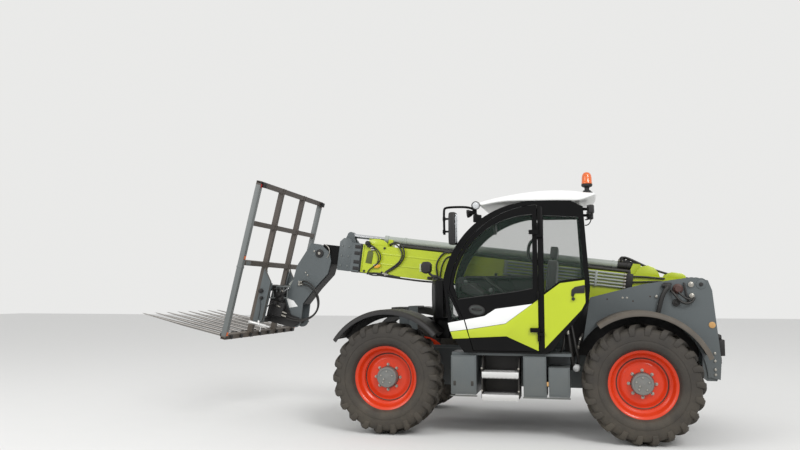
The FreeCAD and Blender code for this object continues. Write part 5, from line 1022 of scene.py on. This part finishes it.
bolt.rod((3.68, 0.06, 0.044), (3.68, 0.06, 0.066), 0.016)
bolt.done()
# The boom's slot plate is lime with painted shade.
on_boom("boom_slot_plate", lime_painted_shade).prism([(3.786, -0.194), (3.866, -0.186), (3.852, -0.05),
    (3.84, -0.03), (3.79, -0.036), (3.778, -0.06)], 0.1595, 0.1665, soften=0.002).done()
valve = on_boom("boom_front_valve", cast_black)
valve.pin((3.858, 0.056), 0.16, 0.205, 0.032, 28, 0.005)
valve.pin((3.858, 0.056), 0.203, 0.216, 0.02, sides=6, soften=0.003)
valve.block((3.82, 3.862), (0.16, 0.196), (0.006, 0.04), 0.006)
for along, off in ((2.985, -0.262), (2.935, -0.29), (3.03, -0.282)):
    valve.block(near(along, 0.026), (0.1605, 0.196), near(off, 0.018), 0.006)
valve.done()
(on_boom("boom_front_hoses", hose_rubber)
    .pipe([(3.6, 0.1, 0.07), (3.52, 0.14, 0.12), (3.44, 0.18, 0.1), (3.378, 0.192, 0.02),
        (3.368, 0.192, -0.07), (3.42, 0.186, -0.16), (3.51, 0.18, -0.235), (3.6, 0.178, -0.29)],
        0.0095)
    .pipe([(3.59, 0.1, 0.06), (3.54, 0.14, 0.095), (3.48, 0.18, 0.08), (3.41, 0.186, 0.01),
        (3.395, 0.186, -0.07), (3.44, 0.182, -0.15), (3.52, 0.178, -0.22), (3.59, 0.176, -0.27)],
        0.0095)
    .pipe([(3.85, 0.176, 0.05), (3.786, 0.19, 0.03), (3.69, 0.192, -0.03), (3.652, 0.19, -0.124),
        (3.724, 0.184, -0.205), (3.8, 0.182, -0.262), (3.83, 0.18, -0.318), (3.74, 0.178, -0.338),
        (3.64, 0.176, -0.322), (3.56, 0.174, -0.296)], 0.008)
    .pipe([(3.85, 0.174, 0.04), (3.76, 0.186, 0.01), (3.7, 0.186, -0.08), (3.69, 0.182, -0.15),
        (3.72, 0.18, -0.19)], 0.006)
    .pipe([(3.83, 0.17, -0.318), (3.755, 0.172, -0.306), (3.66, 0.172, -0.3),
        (3.593, 0.172, -0.306), (3.496, 0.17, -0.314), (3.4, 0.166, -0.322)], 0.013)
    .pipe([(3.7, 0.15, -0.32), (3.6, 0.155, -0.324), (3.48, 0.155, -0.328), (3.3, 0.14, -0.33),
        (3.12, 0.12, -0.333), (2.94, 0.11, -0.322), (2.7, 0.1, -0.322)], 0.011)
    .pipe([(2.82, 0.172, 0.05), (2.866, 0.18, 0.066), (2.927, 0.186, 0.0), (2.958, 0.188, -0.083),
        (2.96, 0.186, -0.16), (2.936, 0.182, -0.225), (2.93, 0.176, -0.28)], 0.011)
    .pipe([(2.8, 0.17, 0.01), (2.85, 0.178, 0.0), (2.89, 0.182, -0.08), (2.9, 0.182, -0.17),
        (2.9, 0.176, -0.27)], 0.009)
    .done())
fittings = on_boom("boom_front_fittings", zinc)
for along, off in ((3.6, -0.286), (3.575, -0.3), (3.725, -0.195), (3.79, 0.016), (3.78, -0.01)):
    fittings.rod((along - 0.028, 0.176, off), (along + 0.028, 0.176, off - 0.01), 0.013, **HEX)
fittings.done()
on_boom("hose_tag", tag_yellow).prism([(3.668, -0.186), (3.7, -0.196), (3.742, -0.226),
    (3.73, -0.24), (3.69, -0.234), (3.66, -0.212)], 0.176, 0.192, soften=0.004).done()

collar = on_boom("collar_bolts", edge_grey, "boom_mid")
for sign in (-1, 1):
    for along in (4.095, 4.185):
        for off in (-0.255, -0.132, -0.01):
            collar.pin((along, off), sign * 0.171, sign * 0.181, 0.012, sides=6, soften=0.0015)
collar.done()
band = on_boom("collar_wear_bands", cast_black, "boom_mid")
band.both("prism", [(3.936, -0.322), (4.034, -0.322), (4.034, 0.042), (4.0, 0.048),
    (3.936, 0.044)], 0.165, 0.1715, soften=0.002)
for sign in (-1, 1):
    for off in (-0.27, -0.19, -0.08, 0.0):
        band.block((3.948, 4.02), (sign * 0.17, sign * 0.1765), near(off, 0.022), 0.003)
band.done()
on_boom("collar_plates", grey, "boom_mid").both("prism", [(4.06, -0.318), (4.222, -0.318),
    (4.222, 0.046), (4.18, 0.092), (4.1, 0.092), (4.06, 0.04)], 0.166, 0.174, soften=0.003).done()

# Boom head and hitch

(on_boom("neck_trim", cast_black, "boom_inner")
    .both("pin", (4.487, -0.138), 0.14, 0.162, 0.052, 32, 0.004)
    .both("pin", (4.709, -1.032), 0.14, 0.15, 0.06, 32, 0.004)
    .done())
pins = on_boom("neck_pin_heads", zinc, "boom_inner")
for sign in (-1, 1):
    pins.pin((4.487, -0.138), sign * 0.16, sign * 0.17, 0.02, **HEX)
    pins.pin((4.56, -0.118), sign * 0.146, sign * 0.156, 0.013, **HEX)
    for along, off in ((4.61, -0.43), (4.64, -0.4), (4.66, -0.56)):
        pins.pin((along, off), sign * 0.144, sign * 0.156, 0.011, **HEX)
pins.done()
# A thin black sheet along the neck's lower rear edge: painted shade on the underside.
belly_shade_plate = on_boom("neck_belly_painted_shade", cast_black, "boom_inner")
under = [(4.322, -0.25), (4.345, -0.386), (4.498, -0.592), (4.629, -0.802)]
belly_shade_plate.prism(under + [(a - 0.0045, off - 0.0025) for a, off in reversed(under)], -0.124, 0.124)
belly_shade_plate.done()
(Piece("hitch_hoses", hose_rubber, "boom_inner")
    .pipe([(2.7, 0.16, 1.668), (2.663, 0.19, 1.69), (2.59, 0.205, 1.66), (2.502, 0.212, 1.59),
        (2.44, 0.214, 1.44), (2.461, 0.214, 1.3), (2.573, 0.212, 1.198), (2.707, 0.21, 1.172),
        (2.8, 0.209, 1.184), (2.89, 0.208, 1.212)], 0.01)
    .pipe([(2.7, 0.16, 1.64), (2.65, 0.18, 1.648), (2.547, 0.192, 1.594), (2.472, 0.194, 1.468),
        (2.462, 0.196, 1.33), (2.532, 0.198, 1.236), (2.657, 0.2, 1.188), (2.773, 0.202, 1.202),
        (2.86, 0.204, 1.228), (2.925, 0.206, 1.252)], 0.01)
    .done())
unions = Piece("hitch_hose_unions", zinc, "boom_inner")
for up in (1.672, 1.64):
    unions.rod((2.69, 0.16, up), (2.735, 0.158, up - 0.004), 0.014, **HEX)
    unions.pin((2.735, up - 0.004), 0.146, 0.176, 0.016, **HEX)
unions.done()


# Hitch and bale frame, in the frame that leans with the attachment

def on_head(name, paint):
    return Piece(name, paint, "carriage", HEAD)


RACK = (0.44, 0.5)
EDGE = 1.047
TINES = 8
TINE_SPREAD = 1.9

(on_head("rack_edge_sleeves", edge_grey)
    .both("panel", ((RACK[0] - 0.0015, RACK[1] + 0.0015), (-0.255, 1.565)), EDGE - 0.0315, EDGE
        + 0.0315, 0.006)
    .both("panel", ((RACK[0] - 0.004, RACK[1] + 0.004), (0.56, 0.585)), EDGE - 0.034, EDGE + 0.034,
        0.003)
    .done())
caps = on_head("rack_end_caps", plastic)
for sign in (-1, 1):
    for low, high in ((-0.29, -0.262), (1.578, 1.607)):
        caps.block((RACK[0] - 0.003, RACK[1] + 0.003), (sign * (EDGE - 0.033),
            sign * (EDGE + 0.03)), (low, high), 0.008, 3)
    caps.block((0.395, 0.441), (sign * 0.985, sign * 1.045), (1.54, 1.6), 0.006)
caps.done()
for name, paint, up in (("rack_reflectors_red", red_lens, 1.555),
        ("rack_reflectors_amber", amber, -0.225), ("rack_reflectors_middle", amber, 0.69)):
    spot = on_head(name, paint)
    for sign in (-1, 1):
        spot.block((0.4325, 0.4395), (sign * 1.03, sign * 1.068), near(up, 0.022), 0.003)
    spot.done()
on_head("rack_rail_clips", edge_grey).both("panel", ((0.43, 0.442), (0.604, 0.652)), 0.875, 0.985,
    0.004).done()
weld = on_head("rack_welds", rack_brown)
for up in (-0.262, 0.63, 1.107, 1.579):
    for y in (-0.36, 0.36):
        for edge in near(y, 0.03):
            weld.pipe([(0.4385, edge, up - 0.034), (0.438, edge, up), (0.4385, edge, up + 0.034)],
                0.0045, 3, 1)
weld.done()
collar = on_head("tine_collars", cast_black)
collar.lathe([(0.5, 0.0), (0.5, 0.04), (0.512, 0.04), (0.52, 0.031), (0.56, 0.0285),
    (0.566, 0.021)], (0, -TINE_SPREAD / 2, -0.262), "x", 24)
collar.rod((0.44, -TINE_SPREAD / 2, -0.262), (0.414, -TINE_SPREAD / 2, -0.262), 0.026, **HEX)
repeated(collar, TINES, step=(0, TINE_SPREAD / (TINES - 1), 0))

plates = on_head("rack_bracket_plates", grey)
outline = [(0.318, -0.08), (0.438, -0.1), (0.438, 0.598), (0.42, 0.56), (0.318, 0.434)]
for sign in (-1, 1):
    for y in (0.3985, 0.4305):
        plates.prism(outline, sign * (y - 0.0015), sign * (y + 0.0015), soften=0.001)
    plates.block((0.318, 0.33), (sign * 0.352, sign * 0.398), (-0.08, 0.42), 0.003)
    plates.block((0.42, 0.438), (sign * 0.352, sign * 0.398), (-0.09, 0.56), 0.003)
plates.done()
studs = on_head("rack_bracket_pins", cast_black)
for sign in (-1, 1):
    for along, up, size in ((0.414, 0.301, 0.03), (0.386, 0.217, 0.022)):
        studs.pin((along, up), sign * 0.43, sign * 0.462, size, 28, 0.004)
        studs.pin((along, up), sign * 0.46, sign * 0.474, size * 0.6, sides=6, soften=0.003)
    studs.pipe([(0.386, sign * 0.468, 0.217), (0.36, sign * 0.474, 0.16),
        (0.35, sign * 0.47, 0.06), (0.356, sign * 0.462, -0.04)], 0.005, 8)
studs.done()

(on_head("hitch_lock_bar", aluminium)
    .rod((0.235, 0.455, -0.105), (0.455, 0.455, -0.105), 0.021, 24, 0.003)
    .rod((0.19, 0.455, -0.105), (0.24, 0.455, -0.105), 0.011, 16)
    .rod((0.455, 0.455, -0.105), (0.47, 0.455, -0.105), 0.026, sides=6, soften=0.003)
    .rod((0.3, 0.455, -0.105), (0.3, 0.455, -0.19), 0.007, 12)
    .block((0.33, 0.352), (0.428, 0.47), (-0.125, -0.06), 0.003)
    .done())
knob = on_head("hitch_couplers", cast_black)
for along, y, up in ((0.25, 0.2, 0.29), (0.215, 0.2, 0.24), (0.262, 0.235, 0.18)):
    knob.pin((along, up), y - 0.035, y + 0.05, 0.026, 20, 0.004)
    knob.pin((along, up), y + 0.05, y + 0.068, 0.019, 20, 0.003)
knob.block((0.15, 0.33), (0.172, 0.24), (0.02, 0.2), 0.01, 3)
knob.block((0.19, 0.3), (0.172, 0.225), (0.19, 0.32), 0.008)
knob.pin((0.185, 0.33), 0.172, 0.262, 0.016, 20, 0.003)
knob.done()
union = on_head("hitch_unions", zinc)
for along, up in ((0.15, 0.09), (0.15, 0.05), (0.25, 0.15)):
    union.rod((along + 0.005, 0.24, up), (along - 0.04, 0.244, up - 0.004), 0.013, **HEX)
    union.rod((along - 0.035, 0.244, up - 0.004), (along - 0.062, 0.246, up - 0.008), 0.01, 14)
union.rod((0.215, 0.205, 0.33), (0.245, 0.205, 0.352), 0.012, **HEX)
union.done()
(on_head("coupler_hoses", hose_rubber)
    .pipe([(0.3, 0.24, 0.16), (0.34, 0.262, 0.15), (0.372, 0.33, 0.06), (0.366, 0.4, -0.03),
        (0.33, 0.448, -0.08)], 0.007)
    .pipe([(0.255, 0.205, 0.355), (0.3, 0.23, 0.37), (0.345, 0.3, 0.32), (0.352, 0.372, 0.3),
        (0.345, 0.425, 0.31)], 0.007)
    .done())
guard = Piece("hitch_grid", edge_grey, "carriage")
guard.rod((3.18, 0.205, 1.61), (2.85, 0.205, 1.609), 0.013, 14)
guard.rod((3.15, 0.205, 1.468), (2.87, 0.205, 1.467), 0.008, 12)
for k in range(6):
    along = 2.88 + 0.048 * k
    guard.rod((along, 0.205, 1.46), (along, 0.205, 1.612), 0.0075, 10)
guard.pin((2.87, 1.609), 0.168, 0.208, 0.01, 12)
guard.pin((3.15, 1.6), 0.205, 0.352, 0.008, 12)
guard.done()

Piece("neck_blank_plate", white, "boom_inner").prism([(2.913, 1.467), (2.815, 1.431),
    (2.758, 1.359), (2.872, 1.34)], 0.1455, 0.1475, soften=0.001).done()
(Piece("neck_keeper", zinc, "boom_inner")
    .pipe([(2.398, 0.15, 2.142), (2.352, 0.151, 2.118), (2.33, 0.151, 2.062),
        (2.34, 0.1505, 2.012), (2.368, 0.15, 1.976)], 0.006)
    .pin((2.448, 2.058), 0.146, 0.158, 0.016, **HEX)
    .done())


# Rear frame, under the cab and the lower sides

(Piece("tower_fittings", cast_black)
    .both("pin", (-2.0, 1.62), 0.586, 0.598, 0.021, 28, 0.003)
    .pin((-1.659, 1.592), 0.578, 0.64, 0.034, 24, 0.005)
    .rod((-1.69, 0.604, 1.612), (-1.6, 0.604, 1.605), 0.02, 20, 0.004)
    .pin((-1.742, 1.425), 0.578, 0.606, 0.04, 28, 0.006)
    .pin((-1.742, 1.425), 0.604, 0.616, 0.02, **HEX)
    .prism([(-1.818, 1.64), (-1.836, 1.64), (-1.866, 1.47), (-1.88, 1.43), (-1.862, 1.424),
        (-1.846, 1.47)], 0.578, 0.604, soften=0.003)
    .block((-1.7, -1.62), (0.578, 0.604), (1.612, 1.64), 0.004)
    .done())
bosses = Piece("tower_bosses", zinc)
bosses.pin((-1.896, 1.619), 0.578, 0.604, 0.03, 32, 0.004)
bosses.pin((-1.896, 1.619), 0.602, 0.618, 0.018, **HEX)
bosses.pin((-1.901, 1.499), 0.578, 0.612, 0.028, 32, 0.006)
bosses.pin((-1.901, 1.499), 0.61, 0.628, 0.016, **HEX)
for along, up in ((-1.566, 1.406), (-1.563, 1.332), (-1.542, 1.49)):
    bosses.pin((along, up), 0.578, 0.598, 0.016, **HEX)
for along, up in ((-1.192, 1.476), (-1.237, 1.476)):
    bosses.pin((along, up), 0.578, 0.584, 0.011, 16, 0.001)
for up in (0.893, 0.812, 0.722, 0.669):
    bosses.both("pin", (-2.112, up), 0.578, 0.592, 0.015, **HEX)
bosses.done()
Piece("tower_red_cap", lens_brown).lathe([(0.578, 0.0), (0.578, 0.054), (0.596, 0.054),
    (0.602, 0.048), (0.606, 0.04), (0.628, 0.037), (0.634, 0.031), (0.634, 0.0)],
    (-1.764, 0, 1.573), "y", 36).done()
Piece("boom_pivot_covers", grey).both("pin", (-2.0, 1.62), 0.575, 0.587, 0.05, 40, 0.004).done()
# The holes are drawn as dark discs of painted shade.
dots = Piece("tower_holes", groove)
for along, up in ((-1.585, 1.462), (-1.479, 1.49), (-1.029, 1.461), (-1.3, 1.44)):
    dots.both("pin", (along, up), 0.5795, 0.5815, 0.009, 16)
dots.done()
Piece("rear_side_reflectors", pale_amber).both("pin", (-2.097, 1.19), 0.578, 0.588, 0.034, 32,
    0.003).done()
(Piece("tower_hoses", hose_rubber)
    .pipe([(-1.659, 0.625, 1.592), (-1.64, 0.632, 1.57), (-1.616, 0.632, 1.53),
        (-1.59, 0.628, 1.47), (-1.575, 0.62, 1.4), (-1.556, 0.612, 1.33), (-1.545, 0.6, 1.27)],
        0.024)
    .pipe([(-1.69, 0.6, 1.556), (-1.716, 0.63, 1.53), (-1.757, 0.636, 1.462), (-1.8, 0.634, 1.425),
        (-1.856, 0.63, 1.41), (-1.915, 0.622, 1.44), (-1.925, 0.612, 1.48)], 0.013)
    .pipe([(-1.764, 0.62, 1.545), (-1.79, 0.64, 1.5), (-1.85, 0.636, 1.452), (-1.9, 0.626, 1.462)],
        0.01)
    .done())

gear = Piece("rear_sockets", plastic)
for y, up in ((0.47, 1.055), (0.36, 1.055), (-0.42, 1.055)):
    gear.rod((-2.148, y, up), (-2.185, y, up), 0.036, 28, 0.005)
    gear.rod((-2.183, y, up), (-2.2, y, up), 0.028, 28, 0.004)
gear.block((-2.19, -2.148), (0.43, 0.52), (0.78, 0.85), 0.006)
gear.block((-2.175, -2.148), (-0.3, 0.3), (1.01, 1.1), 0.004)
gear.done()
(Piece("rear_lamp_frames", plastic)
    .both("panel", ((-2.18, -2.148), (0.868, 1.022)), 0.352, 0.516, 0.006)
    .both("panel", ((-2.225, -2.146), (0.862, 1.028)), 0.512, 0.524, 0.004)
    .both("panel", ((-2.225, -2.146), (1.022, 1.032)), 0.352, 0.524, 0.004)
    .done())
# Black walls behind the rear wheels, inside the frame plates: painted shade between mudguard and
# tyre.
Piece("wheel_house_painted_shade", plastic).both("prism", [(-2.08, 1.13), (-1.86, 1.3), (-1.56, 1.375),
    (-1.24, 1.33), (-0.96, 1.26), (-0.86, 1.42), (-0.56, 1.44), (-0.56, 0.83), (-2.08, 0.83)],
    0.318, 0.324, soften=0.002).done()
(Piece("service_pipes", hose_rubber)
    .pipe([(-0.59, 0.76, 1.2), (-0.612, 0.79, 1.07), (-0.63, 0.8, 0.9), (-0.655, 0.79, 0.77),
        (-0.65, 0.7, 0.7), (-0.56, 0.56, 0.69)], 0.02)
    .pipe([(-0.64, 0.74, 1.18), (-0.668, 0.78, 1.04), (-0.69, 0.79, 0.9), (-0.72, 0.76, 0.8),
        (-0.7, 0.64, 0.74), (-0.6, 0.5, 0.72)], 0.016)
    .pipe([(-0.56, 0.7, 1.15), (-0.57, 0.81, 1.0), (-0.56, 0.83, 0.9), (-0.5, 0.76, 0.88)], 0.012)
    .pipe([(-0.76, 0.64, 1.08), (-0.72, 0.73, 1.01), (-0.706, 0.74, 0.94), (-0.69, 0.7, 0.86),
        (-0.64, 0.6, 0.82)], 0.014)
    .done())
(Piece("service_unions", zinc)
    .rod((-0.738, 0.69, 1.044), (-0.722, 0.722, 1.016), 0.019, sides=6, soften=0.003)
    .rod((-0.709, 0.738, 0.962), (-0.705, 0.74, 0.925), 0.019, sides=6, soften=0.003)
    .rod((-0.6, 0.78, 1.12), (-0.606, 0.788, 1.08), 0.024, sides=6, soften=0.003)
    .done())
Piece("side_filter", white).lathe([(0.6, 0.0), (0.6, 0.04), (0.76, 0.04), (0.775, 0.034),
    (0.78, 0.016), (0.79, 0.014), (0.79, 0.0)], (-0.686, 0, 0.722), "y", 32).done()

doors = Piece("side_box_doors", grey)
for back, front, low, high in ((0.357, 0.629, 0.45, 0.86), (-0.38, -0.142, 0.435, 0.86),
        (-0.62, -0.405, 0.448, 0.75)):
    doors.block((back + 0.012, front - 0.012), (1.058, 1.0645), (low + 0.014, high - 0.014), 0.004)
    doors.block((back + 0.004, front - 0.004), (1.04, 1.066), (low - 0.004, low + 0.01), 0.003)
doors.done()
catches = Piece("side_box_catches", hose_rubber)
for along in (0.4, 0.59):
    catches.block(near(along, 0.014), (1.062, 1.0668), (0.538, 0.588), 0.003)
catches.done()
Piece("side_marker", pale_amber).block((-0.405, -0.382), (1.03, 1.056), (0.555, 0.6), 0.004).done()
ledge = Piece("side_ledges", edge_grey)
for back, front in ((0.352, 0.634), (-0.625, -0.137)):
    ledge.block((back, front), (1.02, 1.072), (0.426, 0.436), 0.002)
ledge.done()
for number, up in ((1, 0.415), (2, 0.65)):
    strip = Piece(f"tread_teeth_{number}", aluminium)
    strip.prism([(-0.0905, up - 0.012), (-0.0785, up - 0.012), (-0.0845, up - 0.028)], 1.0765,
        1.0835)
    tooth = [(-0.09, up + 0.04), (-0.08, up + 0.04), (-0.085, up + 0.047)]
    for inner, outer in ((1.045, 1.052), (0.985, 0.992), (0.925, 0.932)):
        strip.prism(tooth, inner, outer)
    repeated(strip, 28, step=(0.0137, 0, 0))
    rail = Piece(f"tread_edge_{number}", aluminium)
    rail.block((-0.094, 0.294), (1.0755, 1.0845), (up - 0.014, up + 0.042), 0.002)
    rail.block((-0.088, 0.288), (0.842, 1.078), (up + 0.0395, up + 0.0425), 0.001)
    for k in range(12):
        along = -0.078 + 0.0325 * k
        rail.pin((along, up + 0.013), 1.083, 1.0865, 0.006, 14, 0.001)
    rail.done()
hangers = Piece("step_bolts", zinc)
for along in (-0.094, 0.294):
    for up in (0.495, 0.73):
        hangers.pin((along, up), 1.074, 1.088, 0.011, **HEX)
hangers.done()
Piece("fuel_cap", cast_black).lathe([(-1.058, 0.0), (-1.058, 0.055), (-1.078, 0.055),
    (-1.086, 0.046), (-1.086, 0.0)], (0.3, 0, 0.76), "y", 32).done()
hood_latch = Piece("hood_latches", cast_black, "engine_hood")
for along in (-0.56, 0.44):
    hood_latch.block(near(along, 0.03), (-1.07, -1.058), (0.935, 0.985), 0.005)
hood_latch.done()


(Piece("cab_front_cover", cab_black)
    .prism([(0.722, 0.33), (0.882, 0.33), (0.896, 0.56), (0.888, 0.72), (0.862, 0.86),
        (0.806, 0.95), (0.722, 1.01)], 1.25, 1.672, "xy", soften=0.012, steps=3)
    .prism([(0.722, 0.38), (0.88, 0.38), (0.898, 0.52), (0.892, 0.59), (0.722, 0.6)], 1.01, 1.262,
        "xy", soften=0.008)
    .done(40))
front_lines = Piece("cab_front_hoses", hose_rubber)
for number in range(4):
    level = 0.905 - 0.006 * number
    y = 0.6 + 0.045 * number
    front_lines.pipe([(level - 0.012, y + 0.06, 1.7 - 0.02 * number), (level, y + 0.02, 1.6),
        (level + 0.004, y, 1.44), (level, y - 0.01, 1.3),
        (level + 0.004, 0.54 + 0.012 * number, 1.18), (level - 0.006, 0.52 + 0.012 * number, 1.06),
        (0.85, 0.5, 0.96 + 0.01 * number)], 0.011)
front_lines.done()

# Black skirts under the front mudguards, between guard and tyre: painted shade under the guards.
guard_gap_shade = Piece("front_guard_painted_shade", hose_rubber)
for sign in (-1, 1):
    guard_gap_shade.lathe([(sign * 0.622, 0.65), (sign * 0.628, 0.65), (sign * 0.628, 0.7335),
        (sign * 0.622, 0.7335)], (AXLES["front"], 0, AXLE_UP), steps=60, closed=True, start=33,
        sweep=106)
guard_gap_shade.done()

# The frame's own pieces, painted

FRAME_PAINTS = (
    (cab_black, ("cab_frame", "cab_door", "cab_tub", "engine_hood", "boom_inner")),
    (lime, ("boom_base", "cab_side_panel")),
    (grey, ("main_frame", "rear_frame", "counterweight", "side_boxes", "boom_mid",
            "boom_head")),
    (rack_brown, ("bale_frame",)),
    (plastic, ("fuel_tank", "step_ladder")),
    (glass, ("cab_glass", "door_glass")),
    (ram_grey, ("telescope_barrel", "lift_barrel", "tilt_barrel")),
    (chrome, ("telescope_rod", "lift_rod", "tilt_rod")),
    (spike, ("bale_tines",)),
    (red_lens, ("rear_lamps",)),
    (engine_metal, ("engine_block",)),
    (cast_black, ("front_axle", "rear_axle", "tow_hitch", "carriage")),
    (cast_black, tuple(f"knuckle_{end}_{side}" for end in AXLES for side in SIDES)),
)

for paint, names in FRAME_PAINTS:
    for name in names:
        mesh = nodes[name].data
        mesh.materials.clear()
        mesh.materials.append(paint)
        if paint is not glass:
            rounding = nodes[name].modifiers.new("Rounded edges", "BEVEL")
            rounding.width = 0.0025
            rounding.segments = 2
            rounding.limit_method = "ANGLE"
            rounding.angle_limit = math.radians(40)


# The picture

bpy.context.scene.view_settings.view_transform = "Standard"
look_from((-1.87, 9.107, 1.524), 193.697, 5.245, 33.52)
soft_lamp("Key", (-9.5, 13.0, 13.0), (-0.3, 0.0, 1.2), 7.0, 1800)
soft_lamp("Fill", (8.5, 11.0, 7.5), (0.3, 0.0, 1.2), 8.0, 620)
pale_world(0.85, (0.82, 0.82, 0.81))
floor_mesh = bpy.data.meshes.new("floor")
floor_mesh.from_pydata([(-40, -40, 0), (40, -40, 0), (40, 40, 0), (-40, 40, 0)], [],
    [(0, 1, 2, 3)])
floor_mesh.materials.append(finish("Studio floor", (0.7, 0.7, 0.69), 0.9, dust=0.0, grain=2.0,
    depth=0.0, shade=0.02))
floor = bpy.data.objects.new("floor", floor_mesh)
bpy.context.scene.collection.objects.link(floor)
floor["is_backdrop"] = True

low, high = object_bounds()
